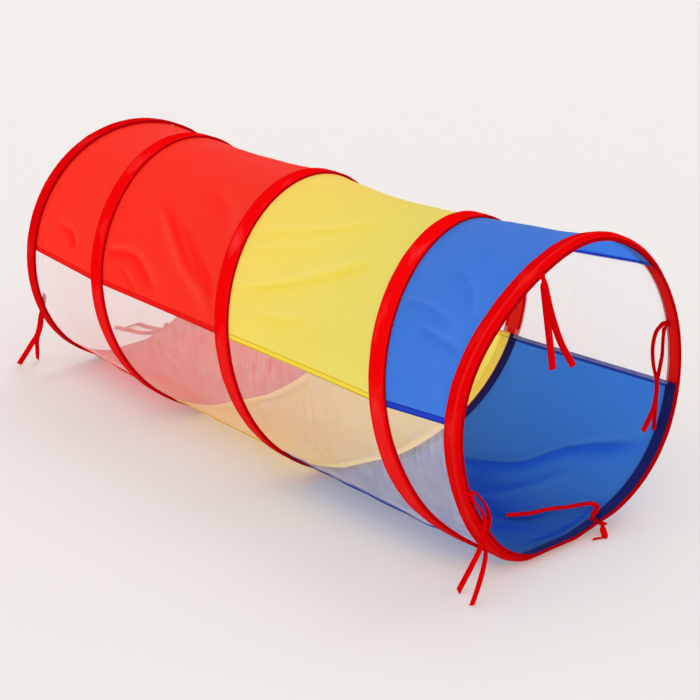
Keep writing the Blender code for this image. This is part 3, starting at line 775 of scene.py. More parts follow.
def tieTail(tie, layer, tail):
    # The line of one tail from where it is sewn, with the way its width points at each spot
    ring, outward = rings[tie["end"]]
    angle, places = tie["angle"], tail["places"]

    def sewn(depth, atAngle=angle, lift=0.0):
        height = ribbon["underCloth"] + layer * ribbon["layerGap"] + lift
        return shellPoint(atAngle, ring(atAngle, depth), -height)

    edge = sewn(ribbon["edgeDepth"])
    stub = tie.get("stub", ()) if layer == 0 else ()
    start = [sewn(depth, atAngle, lift) for atAngle, depth, lift in stub]
    inside = places[0][0] < 0
    if inside or not stub:
        start.append(sewn(ribbon["sewnDepth"]))
    if inside:
        corners = [sewn(ribbon["sewnDepth"] + ribbon["straight"])]
    else:
        start.append(edge)
        corners = [sewn(-ribbon["straight"])]
    lying = ribbon["lyingHeight"]
    for reach, across, share in places:
        height = lying + share * (edge[2] - lying)
        spot = (edge[0] + outward * reach / 1000, edge[1] + across / 1000, height)
        corners.append(np.array(spot))
    sewnLine = fairLine(start, ribbon["step"]) if len(start) > 1 else np.array(start)
    loose = fairLine(corners, ribbon["step"])
    centre = np.vstack([sewnLine, loose])
    centre[:, 2] = np.maximum(centre[:, 2], lying)
    ahead = unit(np.gradient(centre, axis=0))
    alongHoop = shellPoint(angle + 1, edge[0], 0.0) - shellPoint(angle - 1, edge[0], 0.0)
    outside = np.cross(alongHoop, np.array([1.0, 0.0, 0.0]))
    begin, end = (unit(np.array(way)) for way in tail["spread"])
    past = np.concatenate([np.zeros(len(sewnLine)), distances(loose) / distances(loose)[-1]])
    across = []
    for share, forward in zip(past, ahead):
        wanted = begin * (1 - share) + end * share
        sewnWidth = unit(np.cross(outside, forward))
        if across and wanted @ across[-1] < 0:
            wanted = -wanted
        if across and sewnWidth @ across[-1] < 0:
            sewnWidth = -sewnWidth
        turned = ease(share / ribbon["turningShare"])
        width = sewnWidth * (1 - turned) + wanted * turned
        width = width - forward * (width @ forward)
        across.append(unit(width))
    across = np.array(across)
    return centre, across, np.cross(ahead, across)


def flatRibbon(name, centre, across, out, width):
    # A thin strip with rounded edges along the line
    half, high = width / 2, ribbon["thickness"] / 2
    inner = half - ribbon["thickness"] * ribbon["edgeRound"]
    upper = [(half, 0.0), (inner, high), (half / 3, high), (-half / 3, high), (-inner, high)]
    profile = [(-beside, -above) for beside, above in upper] + upper
    return sweep(name, centre, across, out, profile, "red_ribbon")


def tieRibbon(name, centre, across, out):
    # One tail of a tie, its loose end cut on a slant
    piece = flatRibbon(name, centre, across, out, ribbon["width"])
    forward = unit(centre[-1] - centre[-2])
    for corner in piece.data.vertices:
        spot = np.array(corner.co) - centre[-1]
        if np.linalg.norm(spot) < ribbon["width"] * 0.6 and abs(spot @ forward) < 1e-4:
            side = spot @ across[-1] / ribbon["width"]
            corner.co += Vector(forward * side * ribbon["cutSlant"])
        corner.co.z = max(corner.co.z, 0.0001)
    return piece


def tieKnot(name, centre, across, out, knot):
    # The tails' half knot: a flattened roll of ribbon round both tails
    spot = centre[knot["at"]]
    ahead = unit(centre[knot["at"] + 1] - centre[knot["at"] - 1])
    side, face = across[knot["at"]], out[knot["at"]]
    turn = np.linspace(0, 2 * math.pi * knot["turns"], 40)
    swing = np.stack([np.cos(turn), np.sin(turn)], -1)
    lift = (turn / turn[-1] - 0.5) * knot["height"]
    line = (
        spot
        + side * (swing[:, :1] * knot["width"] / 2)
        + face * (swing[:, 1:] * knot["depth"] / 2)
        + ahead * lift[:, None]
        + ahead * (np.sin(turn * 0.5) * knot["skew"])[:, None]
    )
    along = unit(np.gradient(line, axis=0))
    outward = unit(line - spot - ahead * ((line - spot) @ ahead)[:, None])
    wide = unit(np.cross(along, outward))
    return flatRibbon(name, line, wide, outward, knot["ribbon"])


def joined(pieces):
    # One body of several meshes with the same material
    shape = bmesh.new()
    for piece in pieces:
        shape.from_mesh(piece.data)
    shape.to_mesh(pieces[0].data)
    shape.free()
    for spare in pieces[1:]:
        bpy.data.objects.remove(spare)
    return pieces[0]


def addTie(name, tie):
    for layer, tail in enumerate(tie["tails"]):
        centre, across, out = tieTail(tie, layer, tail)
        piece = tieRibbon(f"{name}_tail_{layer + 1}", centre, across, out)
        if tail["knot"]:
            piece = joined([piece, tieKnot(f"{name}_knot", centre, across, out, tail["knot"])])
        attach(piece, f"{tie['end']}_end")
        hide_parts(name)


for tieName, tieMade in ties.items():
    addTie(tieName, tieMade)
print("ties hung")

# Binding tapes: a band with its edges folded under, drawn tight over the wire. On a ring the
# strip in front of the wire turns in to make a lip round the opening.

binding = {
    "step": 1.5,
    "ridge": 0.0038,
    "bead": 0.00035,
    "topHeight": 0.00105,
    "underHeight": 0.00045,
    # Where the top's corners stand from an edge to the wire, as shares of the band
    "stations": (0.004, 0.016, 0.034, 0.06, 0.12, 0.20, 0.28, 0.36, 0.42, 0.46, 0.48, 0.49),
    "edgeTurn": 0.0004,
    "wireDepth": 0.0145,  # how far behind a ring's front edge its wire lies
    # How clear the tape is over each window, from its first seam to its last: there it lets
    # more light through and is painted paler with painted light
    "overWindows": (("floorNearSeam", "nearTopSeam", 0.30), ("topFarSeam", "farFloorSeam", 1.0)),
    "nearRingShare": 0.4,
    "windowFade": 3,
    # Wave, height, stretch along the hoop and more to the seed
    "roughness": ((0.030, 0.00028, 0.6, 0), (0.010, 0.00016, 1, 40)),
    "windowDrop": 0.0009,
    "lip": 0.0062,
    "lipDepth": 0.0105,
    "lipCurve": 1.15,
    # Width of the painted highlight along the front ring's wire
    "crestWidth": 0.0011,
    "lift": 0.0050,
    "liftAngle": 203,
    "liftWidth": 30,
    "liftBehind": 0.35,  # share of the lift that the part behind the front edge keeps
    "endReach": 0.5,  # the coil's tape closes this many degrees past its wire
    "narrow": 0.36,  # low on the near side the coil tape turns its front edge under
    "narrowAngle": 46,
    "narrowFade": 20,
    "floorLip": 0.0115,
    "floorLipAngles": (-16, 48),
    "floorLipFades": (14, 22),
    "tapeGap": 0.0003,
}


def ripple(around, along, wave, seed, count=7):
    # Smooth random lumps, about -1 to 1, repeatable for each seed
    chance = np.random.default_rng(seed)
    total = 0.0
    for _ in range(count):
        heading = chance.uniform(0, math.pi)
        length = wave * chance.uniform(0.7, 1.5)
        push = (around * math.cos(heading) + along * math.sin(heading)) * 2 * math.pi / length
        total = total + np.sin(push + chance.uniform(0, 2 * math.pi))
    return total / math.sqrt(count) / 1.2


def lipFall(angle, depth):
    # How far the front ring's lip has turned in at a depth behind its front edge
    around = signedTurn(angle)
    first, last = binding["floorLipAngles"]
    fadeIn, fadeOut = binding["floorLipFades"]
    low = ease((around - first) / fadeIn + 1) * ease((last - around) / fadeOut + 1)
    drop = binding["lip"] + (binding["floorLip"] - binding["lip"]) * low
    reach = binding["lipDepth"] + (binding["wireDepth"] - binding["lipDepth"]) * low
    return drop * np.clip(1 - depth / reach, 0, 1.2) ** binding["lipCurve"]


def ringLift(angle, depth):
    # The front ring's top stands a little proud, most of all at its front edge
    around = signedTurn(angle, binding["liftAngle"])
    behind = binding["liftBehind"]
    share = behind + (1 - behind) * ease((0.024 - depth) / 0.012)
    return binding["lift"] * np.exp(-((around / binding["liftWidth"]) ** 4)) * share


def bandLift(off):
    # The flat band's height over its edges: nearly level, then steep at the edge
    steep = np.clip((off - 0.88) / 0.12, 0, 1)
    level = (1 - 0.10 * off**2) * np.sqrt(np.maximum(1 - steep**2, 0.0))
    return binding["ridge"] * level + binding["bead"] * np.exp(-((off / 0.07) ** 4))


def tapeGrid(angle, front, back, wire, seed, ring=None):
    # The band's corners: a tent over the wire, front to back, then flat underneath
    look = binding
    turn, top, low = look["edgeTurn"], look["topHeight"], look["underHeight"]
    rows = [(front, (top + low) / 2, 0.3)]
    side = look["stations"]
    for share in [*side, 0.5, *(1 - np.array(side[::-1]))]:
        edge = front if share < 0.5 else back
        off = abs(2 * share - 1)
        rows.append((wire + (edge - wire) * off, top + float(bandLift(off)), 1.0))
    rows += [(back, (top + low) / 2, 0.3), (back + turn, low, 0.0)]
    rows += [(back + (front - back) * share, low, 0.0) for share in np.linspace(0.12, 0.88, 6)]
    rows += [(front - turn, low, 0.0), rows[0]]
    x = np.stack([spot + 0 * front for spot, _, _ in rows], -1)
    height, loose = (np.array([row[place] for row in rows])[None, :] for place in (1, 2))
    arc = arcLength(angle)[:, None] + 0 * x
    for wave, rough, squeeze, more in look["roughness"]:
        height = height + rough * loose * ripple(arc * squeeze, x, wave, seed + more)
    height = np.minimum(height, tunnel["stackHeight"])
    raised = height > low * 2
    wound = np.mod(angle, 360)
    # clear: how far the tape is painted with light, and lets more through, over a window
    clear, bare = 0.0 * wound, 0.0 * wound
    for begin, end, share in look["overWindows"]:
        fade = look["windowFade"]
        inWindow = ease((wound - tunnel[begin]) / fade) * ease((tunnel[end] - wound) / fade)
        share = share * (look["nearRingShare"] if ring and begin == "floorNearSeam" else 1.0)
        clear, bare = clear + share * inWindow, bare + inWindow
    if ring:
        bare = np.ones(len(angle))
    height = height - np.where(raised, 0.0, look["windowDrop"] * bare[:, None])
    if ring == "front":
        depth = front[:, None] - x
        proud = ringLift(angle[:, None], depth)
        height = height - lipFall(angle[:, None], depth)
        height = height + proud * np.where(raised, 1.0, ease((0.011 - depth) / 0.010))
    if not ring:
        # Both ends of the coil's band are sewn shut
        height[[0, -1]] = low - look["windowDrop"] * bare[[0, -1], None]
    points = shellPoint(angle[:, None], x, height, taut=True)
    girth = distances(points[len(angle) // 2])
    # rim: for the edges' painted shade and outline; crest: painted highlight along the front
    # ring's wire
    rim = np.minimum(front[:, None] - x, x - back[:, None])
    turned = (front[:, None] - x - look["lipDepth"]) / look["crestWidth"]
    crest = np.exp(-(turned**2)) * raised * (ring == "front")
    maps = {
        "cloth": np.stack([arc, 0 * arc + girth[None, :]], -1),
        "marks": np.stack([rim, clear[:, None] + 0 * rim], -1),
        "bands": np.stack([crest, 0 * rim], -1),
    }
    return points, maps


def tapeStitches(angle, front, back, wire, ring=None):
    # Two rows of stitching along a band, near its edges
    runs = []
    for edge in (front, back):
        x = edge + np.sign(wire - edge) * stitching["tapeInset"]
        off = np.abs(x - wire) / np.maximum(np.abs(edge - wire), 1e-6)
        height = binding["topHeight"] + bandLift(off) + stitching["radius"] * 0.3
        if ring == "front":
            height = height - lipFall(angle, front - x) + ringLift(angle, front - x)
        runs.append(shellPoint(angle, x, height, taut=True))
    return runs


# Stitching: short threads laid along every seam by one node tree

stitching = {
    "pitch": 0.0040,
    "length": 0.0029,
    "radius": 0.00032,
    "tapeInset": 0.0022,
    "hemInset": 0.0014,
    "hemWidth": 0.0100,
    "stray": 0.07,
    "seed": 4,
}


def stitchTree(look):
    # Curve points along the given edges, one small capsule on each, turned along the seam
    tree = bpy.data.node_groups.new("seamStitches", "GeometryNodeTree")
    face = tree.interface
    face.new_socket("Seams", in_out="INPUT", socket_type="NodeSocketGeometry")
    kinds = {"Pitch": "Float", "Length": "Float", "Radius": "Float", "Seed": "Int"}
    for label, kind in kinds.items():
        socket = face.new_socket(label, in_out="INPUT", socket_type=f"NodeSocket{kind}")
        socket.default_value = look[label.lower()]
    face.new_socket("Thread", in_out="INPUT", socket_type="NodeSocketMaterial")
    face.new_socket("Stitches", in_out="OUTPUT", socket_type="NodeSocketGeometry")

    def node(kind, inputs=None, **settings):
        return addNode(tree, kind, settings, inputs or {})

    given = tree.nodes.new("NodeGroupInput").outputs
    line = node("GeometryNodeMeshToCurve", {"Mesh": given["Seams"]})
    spacing = {"Curve": line, "Length": given["Pitch"]}
    spaced = node("GeometryNodeResampleCurve", spacing, mode="LENGTH")
    bead = node("GeometryNodeMeshUVSphere", {"Segments": 5, "Rings": 4, "Radius": 1.0})
    half = node("ShaderNodeMath", [given["Length"], 0.5], operation="MULTIPLY")
    size = node("ShaderNodeCombineXYZ", [given["Radius"], given["Radius"], half])
    capsule = node("GeometryNodeTransform", {"Geometry": bead, "Scale": size})
    limits = {0: (-look["stray"],) * 3, 1: (look["stray"],) * 3, "Seed": given["Seed"]}
    stray = node("FunctionNodeRandomValue", limits, data_type="FLOAT_VECTOR")
    tangent = node("GeometryNodeInputTangent")
    heading = node("ShaderNodeVectorMath", [tangent, stray], operation="ADD")
    turned = node("FunctionNodeAlignRotationToVector", {"Vector": heading}, axis="Z")
    spots = {"Points": spaced, "Instance": capsule, "Rotation": turned}
    placed = node("GeometryNodeInstanceOnPoints", spots)
    whole = node("GeometryNodeRealizeInstances", {"Geometry": placed})
    dressed = node("GeometryNodeSetMaterial", {"Geometry": whole, "Material": given["Thread"]})
    node("NodeGroupOutput", {"Stitches": dressed})
    return tree


stitchNodes = stitchTree(stitching)


def addStitches(name, runs, slot):
    # One plain mesh of stitches along every run of points
    mesh = bpy.data.meshes.new(name)
    spots, edges = [], []
    for run in runs:
        start = len(spots)
        spots += run.tolist()
        edges += [(start + step, start + step + 1) for step in range(len(run) - 1)]
    mesh.from_pydata(spots, edges, [])
    path = bpy.data.objects.new(f"{name}_path", mesh)
    bpy.context.scene.collection.objects.link(path)
    modifier = path.modifiers.new("stitches", "NODES")
    modifier.node_group = stitchNodes
    sockets = {item.name: item.identifier for item in stitchNodes.interface.items_tree}
    modifier[sockets["Thread"]] = threadFinishes[slot]
    ready = path.evaluated_get(bpy.context.evaluated_depsgraph_get())
    made = bpy.data.meshes.new_from_object(ready)
    path.modifiers.remove(modifier)
    bpy.data.objects.remove(path)
    made.name = name
    made.shade_smooth()
    piece = bpy.data.objects.new(name, made)
    bpy.context.scene.collection.objects.link(piece)
    return piece


def addRingTape(label, ring, sense):
    angle = np.arange(0, 360, binding["step"])
    depths = (0.0, tunnel["endTapeWidth"], tunnel["endTapeWidth"] / 2)
    near, deep, wire = (ring(angle, depth) for depth in depths)
    front, back = (near, deep) if sense > 0 else (deep, near)
    points, maps = tapeGrid(angle, front, back, wire, 11 if sense > 0 else 12, label)
    onward = maps["cloth"][-1:] + (arcLength(binding["step"]), 0.0)
    ends = {"cloth": onward, "marks": maps["marks"][:1], "bands": maps["bands"][:1]}
    maps = {kind: np.concatenate([maps[kind], ends[kind]]) for kind in maps}
    piece = meshFromGrid(f"{label}_ring_binding", points, maps, "ring_tape", closed=True)
    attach(piece, f"{label}_end")
    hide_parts(f"{label}_ring_tape")
    whole = [np.vstack([run, run[:1]]) for run in tapeStitches(angle, front, back, wire, label)]
    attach(addStitches(f"{label}_ring_stitches", whole, "red_tape"), f"{label}_end")


for ringLabel, (ringLine, ringSense) in rings.items():
    addRingTape(ringLabel, ringLine, ringSense)


def squashBay(piece, body):
    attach(piece, body)
    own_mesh(piece)


def addCoilTape():
    past = binding["endReach"]
    first, last = tunnel["coilFirst"] - past, tunnel["coilLast"] + past
    angle = np.arange(first + 0.05, last - 0.05, binding["step"])
    angle = np.concatenate([[first], angle, [last - 0.05, last]])
    wire = coilX(angle)
    half = tunnel["coilTapeWidth"] / 2
    low = (np.mod(angle, 360) - binding["narrowAngle"]) / binding["narrowFade"]
    frontHalf = half * (1 - binding["narrow"] * np.exp(-(low**2)))
    frontEdge, backEdge = (ring(angle, tunnel["endTapeWidth"]) for ring, _ in rings.values())
    front = np.minimum(wire + frontHalf, frontEdge - binding["tapeGap"])
    back = np.maximum(wire - half, backEdge + binding["tapeGap"])
    points, maps = tapeGrid(angle, front, back, wire, 13)
    piece = meshFromGrid("coil_binding", points, maps, "red_tape")
    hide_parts("coil_tape")
    squashBay(piece, "coil")
    runs = tapeStitches(angle, front, back, wire)
    squashBay(addStitches("coil_stitches", runs, "red_tape"), "coil")


addCoilTape()
print("bindings sewn")

# Spring wire of the coil with its end caps. The rings keep their own wires and sleeves.

spring = {
    "wireRadius": 0.001,
    "height": 0.0019,
    "capRadius": 0.0016,
    "capLength": 0.016,
    "capBase": 0.003,
    "setBack": 4,  # degrees from the coil's end to its wire's end
    "stations": 700,
}


def circle(radius, corners):
    turn = np.linspace(0, 2 * math.pi, corners, endpoint=False)
    return np.stack([np.cos(turn), np.sin(turn)], -1) * radius


def addCoilWire():
    first, last = tunnel["coilFirst"] + spring["setBack"], tunnel["coilLast"] - spring["setBack"]
    angle = np.linspace(first, last, spring["stations"])
    centre = shellPoint(angle, coilX(angle), spring["height"], taut=True)
    ahead = unit(np.gradient(centre, axis=0))
    across = unit(np.cross(ahead, np.array([1.0, 0, 0])))
    out = np.cross(across, ahead)
    outline = circle(spring["wireRadius"], 8)
    piece = sweep("coil_spring", centre, across, out, outline, "spring_steel")
    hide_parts("coil_wire")
    squashBay(piece, "coil")
    base = spring["capBase"]
    reach = np.array([-base, -base * 0.8, 0.0, spring["capLength"] - base])[:, None]
    for label, tip, inward in (("front", 0, 1), ("back", -1, -1)):
        line = centre[tip] + ahead[tip] * inward * reach
        sides, outs = (np.repeat(way[tip][None], 4, 0) for way in (across, out))
        outline = circle(spring["capRadius"], 12)
        cap = sweep(f"coil_{label}_end_cap", line, sides, outs, outline, "cap_plastic")
        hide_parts(f"coil_{label}_cap")
        squashBay(cap, "coil")


addCoilWire()
for node, steel in (("ring_wire", "spring_steel"), ("ring_sleeve", "sleeve_steel")):
    for end in rings:
        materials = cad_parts[f"{end}_{node}"].data.materials
        materials.clear()
        materials.append(finishes[steel])
print("spring wires in")

# Cloth panels with stitched hems, and net windows held between them

cloth = {
    "degrees": math.degrees(1 / tunnel["radius"]),  # degrees round the hoop in each metre
    "ringSetBack": 0.008,
    "coilSeamGap": 0.0010,
    "seamGap": 0.0008,
    "netRingSetBack": 0.0232,
    "netCoilInset": 0.0090,
    "netUnderHem": 0.0060,
    "hemStep": 0.0025,
    "floorOverlap": 0.036,
    "hemDrop": 0.0005,
    "netTuck": 0.0014,
    "ringDrop": 0.0011,
    "overlapLift": 0.0012,
    "restLift": 0.0004,
    "pucker": 0.0006,
    "warp": 0.012,
    "warpWave": 0.09,
    "ridgeWave": 0.055,
    "smallWave": 0.028,
    "patchWave": 0.16,
    "puckerWave": 0.016,
    "lapWave": 0.05,
    "freeFade": 0.03,  # how far from a tape or seam the cloth is first free
    "lapFade": 0.02,
    "calmAngles": (8, 20),  # the floor is calm up to the first, and less so over the second
    "calmShare": 0.35,
    "tapeFade": 0.012,
    "slackGap": 0.08,
    "coilPast": 0.2,  # degrees past the coil's end where the back ring takes over
}


def besideFront(angle):
    return angle - 360 < tunnel["floorNearSeam"]


def besideBack(angle):
    return angle > tunnel["coilLast"] + cloth["coilPast"]


def frontLine(angle, ringDepth, inset):
    # Where a panel starts, on the front ring or on the coil's turn before; 400 only keeps the
    # coil's formula in range where the ring's line is taken
    onRing = besideFront(angle)
    wound = coilX(np.where(onRing, 400.0, angle - 360)) - inset
    return np.where(onRing, frontRingX(angle, ringDepth), wound)


def backLine(angle, ringDepth, inset):
    return np.where(besideBack(angle), backRingX(angle, ringDepth), coilX(angle) + inset)


def foldShape(folds, turn, arc, x):
    # Soft creases along drawn lines: how far the cloth dips, the painted shade in its valley
    # and the painted highlight on its crest
    height, valley, crest = (0.0 * (arc + x) for _ in range(3))
    for fold in folds:
        spots = [(arcLength(angle + turn), along, 0.0) for angle, along in fold["path"]]
        line = fairLine(spots, 0.004)[:, :2]
        ahead = unit(np.gradient(line, axis=0))
        away = np.hypot(arc[..., None] - line[:, 0], x[..., None] - line[:, 1])
        nearest = away.argmin(-1)
        spotArc, spotX = np.moveaxis(line[nearest], -1, 0)
        headArc, headX = np.moveaxis(ahead[nearest], -1, 0)
        aside = (arc - spotArc) * headX - (x - spotX) * headArc
        beyond = (arc - spotArc) * headArc + (x - spotX) * headX
        travelled = nearest / (len(line) - 1)
        width = fold["width"] * (0.7 + 0.5 * travelled)
        fade = ease(travelled * 3.5 + fold["start"]) * ease((1 - travelled) * 3.5 + fold["end"])
        fade = fade * np.exp(-((beyond / width) ** 2))
        behind = aside * fold["steep"] > 0
        side = np.where(behind, 0.5, 1.4)
        height = height + fold["depth"] * fade * np.exp(-((aside / (width * side)) ** 2))
        shade = np.where(behind, 0.30, 1.3)
        valley = valley + fold["tone"] * fade * np.exp(-((aside / (width * shade)) ** 2))
        lit = (aside * fold["steep"] - 0.9 * width) / (0.5 * width)
        crest = crest + fold["lit"] * fold["tone"] * fade * np.exp(-(lit**2))
    return height, np.clip(valley, 0, 1), np.clip(crest, 0, 1)


def baseHeight(angle, x, front, back, sag):
    # The cloth's own height between its tapes: a sag inward, and flat on the floor below
    gap = np.maximum(front - back, 1e-6)
    along = np.clip((front - x) / gap, 0, 1)
    slack = ease(gap / cloth["slackGap"]) * (front > back)
    belly = 4 * along * (1 - along)
    around = np.abs(signedTurn(angle))
    fade = tunnel["restFadeAngle"]
    resting = ease((fade - around) / (fade - tunnel["restHalfAngle"]))
    sunk = sag * slack * belly * (1 - resting)
    lowered = tunnel["stackHeight"] * slack * resting * ease(np.minimum(along, 1 - along) * 8)
    return lowered - sunk


def clothHeight(angle, x, front, back, first, last, look):
    # front and back are the edges of the tapes here; first and last the panel's seams
    arc = arcLength(angle)
    seed = look["seed"]
    fromTape = np.minimum(front - x, x - back)
    fromSeam = np.minimum(angle - first, last - angle) * arcLength(1)
    free = ease(fromTape / cloth["freeFade"]) * ease((fromSeam - 0.004) / cloth["freeFade"])
    nearTape = ease(fromTape / 0.006) * np.exp(-np.maximum(fromTape - 0.003, 0) / 0.016)
    around = np.abs(signedTurn(angle))
    share, (calmStart, calmWidth) = cloth["calmShare"], cloth["calmAngles"]
    calm = share + (1 - share) * ease((around - calmStart) / calmWidth)
    warpArc = arc + cloth["warp"] * ripple(arc, x, cloth["warpWave"], seed + 1)
    warpX = x + cloth["warp"] * ripple(arc, x, cloth["warpWave"], seed + 2)
    lumps = ripple(arc, x, look["lumpWave"], seed + 3)
    ridges = 1 - 2 * np.abs(ripple(warpArc * 0.8, warpX, cloth["ridgeWave"], seed + 4))
    small = 1 - 2 * np.abs(ripple(warpArc, warpX * 0.7, cloth["smallWave"], seed + 5))
    patch = ease(ripple(arc, x, cloth["patchWave"], seed + 7) * 0.7 + 0.5)
    pucker = ripple(arc, x * 0.2, cloth["puckerWave"], seed + 6)
    folds, valley, crest = foldShape(look["folds"], look["turn"], arc, x)
    height = baseHeight(angle, x, front, back, look["sag"] * (0.15 + 0.85 * ease(fromSeam / 0.10)))
    height = height + free * calm * look["lumps"] * lumps
    height = height + free * calm * look["crinkle"] * patch * (ridges + 0.5 * small)
    height = height + nearTape * calm * cloth["pucker"] * (pucker - 0.5) * ease(fromSeam / 0.02)
    clear = ease(fromTape / cloth["tapeFade"])
    fade = cloth["lapFade"]
    lapped = ease(-fromSeam / fade) * ease(fromTape / fade) * (angle > last)
    uneven = 1 + 0.7 * ripple(arc * 0.4, x, cloth["lapWave"], seed + 8)
    height = height + cloth["overlapLift"] * lapped * uneven
    # The creases' painted shade and painted highlight fade out towards the tapes
    return height - free * folds, valley * clear, crest * clear


def panelAngles(first, last, look, hem):
    # Angles across a panel, with the hems folded back underneath at both ends
    span = cloth["degrees"]
    rows = max(8, round((last - first) / span / look["arcStep"]))
    angle = np.linspace(first, last, rows)
    if first < tunnel["coilLast"] < last:
        angle = np.sort(np.append(angle, [tunnel["coilLast"] + 0.19, tunnel["coilLast"] + 0.5]))
    under = np.zeros(len(angle))
    if hem:
        back = np.arange(stitching["hemWidth"], 0.0005, -cloth["hemStep"]) * span
        inward = np.concatenate([back, [0.0004 * span, 0.0]])
        lower = np.concatenate([np.ones(len(back)), [1.0, 0.5]])
        angle = np.concatenate([first + inward, angle, last - inward[::-1]])
        under = np.concatenate([lower, under, lower[::-1]])
    return angle, under


def addPanel(name, first, last, slot, look, body):
    net = slot == "white_net"
    span = cloth["degrees"]
    gap = (cloth["seamGap"] / 2 - (cloth["netUnderHem"] if net else 0.0)) * span
    lap = look["overlap"] * span
    first = first + gap
    last = last - gap + lap
    angle, under = panelAngles(first, last, look, not net)
    ringDepth = cloth["netRingSetBack"] if net else cloth["ringSetBack"]
    inset = cloth["netCoilInset"] if net else cloth["coilSeamGap"] / 2
    front = frontLine(angle, ringDepth, inset)
    back = backLine(angle, ringDepth, inset)
    columns = max(10, round((front - back).max() / look["acrossStep"]))
    share = np.linspace(0, 1, columns)[None, :]
    x = front[:, None] * (1 - share) + back[:, None] * share
    # The lap and the slanted seams turn the panel's edges away from a straight line
    lapped = np.maximum(angle - last + lap, 0.0)[:, None]
    wide = angle[:, None] + lapped * look["lapSlant"] * (share - 0.5)
    toStart = ease(1 - (angle - first) / look["slantFade"])[:, None]
    toEnd = ease(1 - (last - angle) / look["slantFade"])[:, None]
    wide = wide + (look["startSlant"] * toStart + look["endSlant"] * toEnd) * share
    # How far each spot is from the tapes, and how high the cloth lies there
    edges = (cloth["ringSetBack"], cloth["coilSeamGap"] / 2)
    clothFront = frontLine(angle, *edges)[:, None]
    clothBack = backLine(angle, *edges)[:, None]
    atFront, atBack = besideFront(angle)[:, None], besideBack(angle)[:, None]
    ringBand = tunnel["endTapeWidth"] - cloth["ringSetBack"]
    coilBand = tunnel["coilTapeWidth"] / 2
    frontBand = np.where(atFront, ringBand, coilBand)
    backBand = np.where(atBack, ringBand, coilBand)
    seams = (first - gap, last + gap - lap)
    height, valley, crest = clothHeight(
        wide, x, clothFront - frontBand, clothBack + backBand, *seams, look
    )
    height = height - under[:, None] * cloth["hemDrop"]
    if net:
        tucked = np.maximum(seams[0] - angle, angle - seams[1])[:, None] / span
        height = height - cloth["hemDrop"] / 2 - cloth["netTuck"] * ease(tucked / 0.003)
    fade = cloth["tapeFade"]
    onFront = atFront * ease((ringBand + fade - clothFront + x) / fade)
    onBack = atBack * ease((ringBand + fade - x + clothBack) / fade)
    height = height - cloth["ringDrop"] * np.maximum(onFront, onBack)
    height = height - lipFall(wide, frontRingX(wide, 0.0) - x)
    points = shellPoint(wide, x, height, taut=True)
    above = points[..., 2] - cloth["restLift"]
    points[..., 2] = cloth["restLift"] + (above + np.sqrt(above**2 + 0.0004**2)) / 2
    arc = arcLength(wide)
    bands = np.stack([(clothFront - x) / frontBand, (x - clothBack) / backBand], -1)
    seam = np.minimum(arc - arcLength(first), arcLength(last) - arc)
    maps = {
        "cloth": np.stack([arc, x], -1),
        "bands": bands,
        # The creases' painted shade less their painted highlight, and the distance from the seam
        "marks": np.stack([valley - crest, np.minimum(seam, 0.05)], -1),
    }
    piece = meshFromGrid(f"{name}_cloth", points, maps, look.get("finish", slot))
    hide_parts(name)
    squashBay(piece, body)
    if net:
        return []
    # The hem's stitches, above and below it, run beside the tapes and not under them
    runs = []
    for edge, sense in ((first, 1), (last, -1)):
        for inset in (stitching["hemInset"], stitching["hemWidth"] - stitching["hemInset"]):
            at = edge + sense * inset * span
            row = int(np.argmin(np.abs(angle - at) + under * 99))
            along = x[row]
            inside = (along < clothFront[row, 0] - fade) & (along > clothBack[row, 0] + fade)
            if inside.sum() <= 4:
                continue
            there, beside, outer = (
                shellPoint(way, along[inside], lift, taut=True)
                for way, lift in ((at, 0.0), (angle[row], 0.0), (at, 0.01))
            )
            shift = (there - beside) * (0.0, 1.0, 1.0)
            out = unit(outer - there)
            for lift in (0.0001, -cloth["hemDrop"] - 0.0001):
                run = points[row, inside] + shift + out * lift
                run[:, 2] = np.maximum(run[:, 2], 0.0004)
                runs.append(run)
    return runs


def fold(depth, width, tone, *path, steep=1, lit=0.5, start=0.1, end=0.1):
    # A crease along (angle, x) places. Its steep side is 1 or -1; tone is the painted shade in
    # its valley, lit the painted highlight on its crest, and start and end say how much of it is
    # left at its ends.
    values = {"depth": depth, "width": width, "tone": tone, "path": path, "steep": steep}
    return values | {"lit": lit, "start": start, "end": end}


redFolds = (
    fold(
        0.0075, 0.016, 1.2,
        (141, -0.235), (129, -0.160), (118, -0.090), (108.5, -0.004), (98, 0.030),
        steep=-1, lit=0.4,
    ),
    fold(0.0035, 0.012, 0.8, (133, -0.150), (120.5, -0.070), (110, -0.005), steep=-1),
    fold(0.0045, 0.014, 1.0, (109, -0.325), (112, -0.228), (107.5, -0.182), (99, -0.125)),
    fold(0.003, 0.01, 0.8, (106, -0.250), (98, -0.185)),
    fold(0.002, 0.02, 0.5, (154.5, -0.142), (142, -0.056), (129.5, -0.016)),
)
tailFolds = (
    fold(0.0035, 0.0117, 0.85, (112, -0.485), (110, -0.425), (103, -0.395)),
    fold(0.0025, 0.0078, 0.68, (114, -0.440), (106, -0.395)),
)
yellowFolds = (
    fold(0.003, 0.0143, 0.94, (114, 0.055), (128.5, 0.194), (146, 0.300)),
    fold(0.0025, 0.0156, 0.68, (138, 0.030), (153, 0.164), (167, 0.240)),
    fold(0.0015, 0.0117, 0.59, (133, 0.235), (144, 0.300)),
    fold(0.0018, 0.013, 0.68, (109, 0.105), (110.5, 0.198), (116, 0.245)),
    fold(0.0015, 0.0117, 0.51, (105, 0.235), (117, 0.280)),
    fold(0.0015, 0.0156, 0.42, (130, 0.044), (139.5, 0.148), (152.5, 0.238)),
)
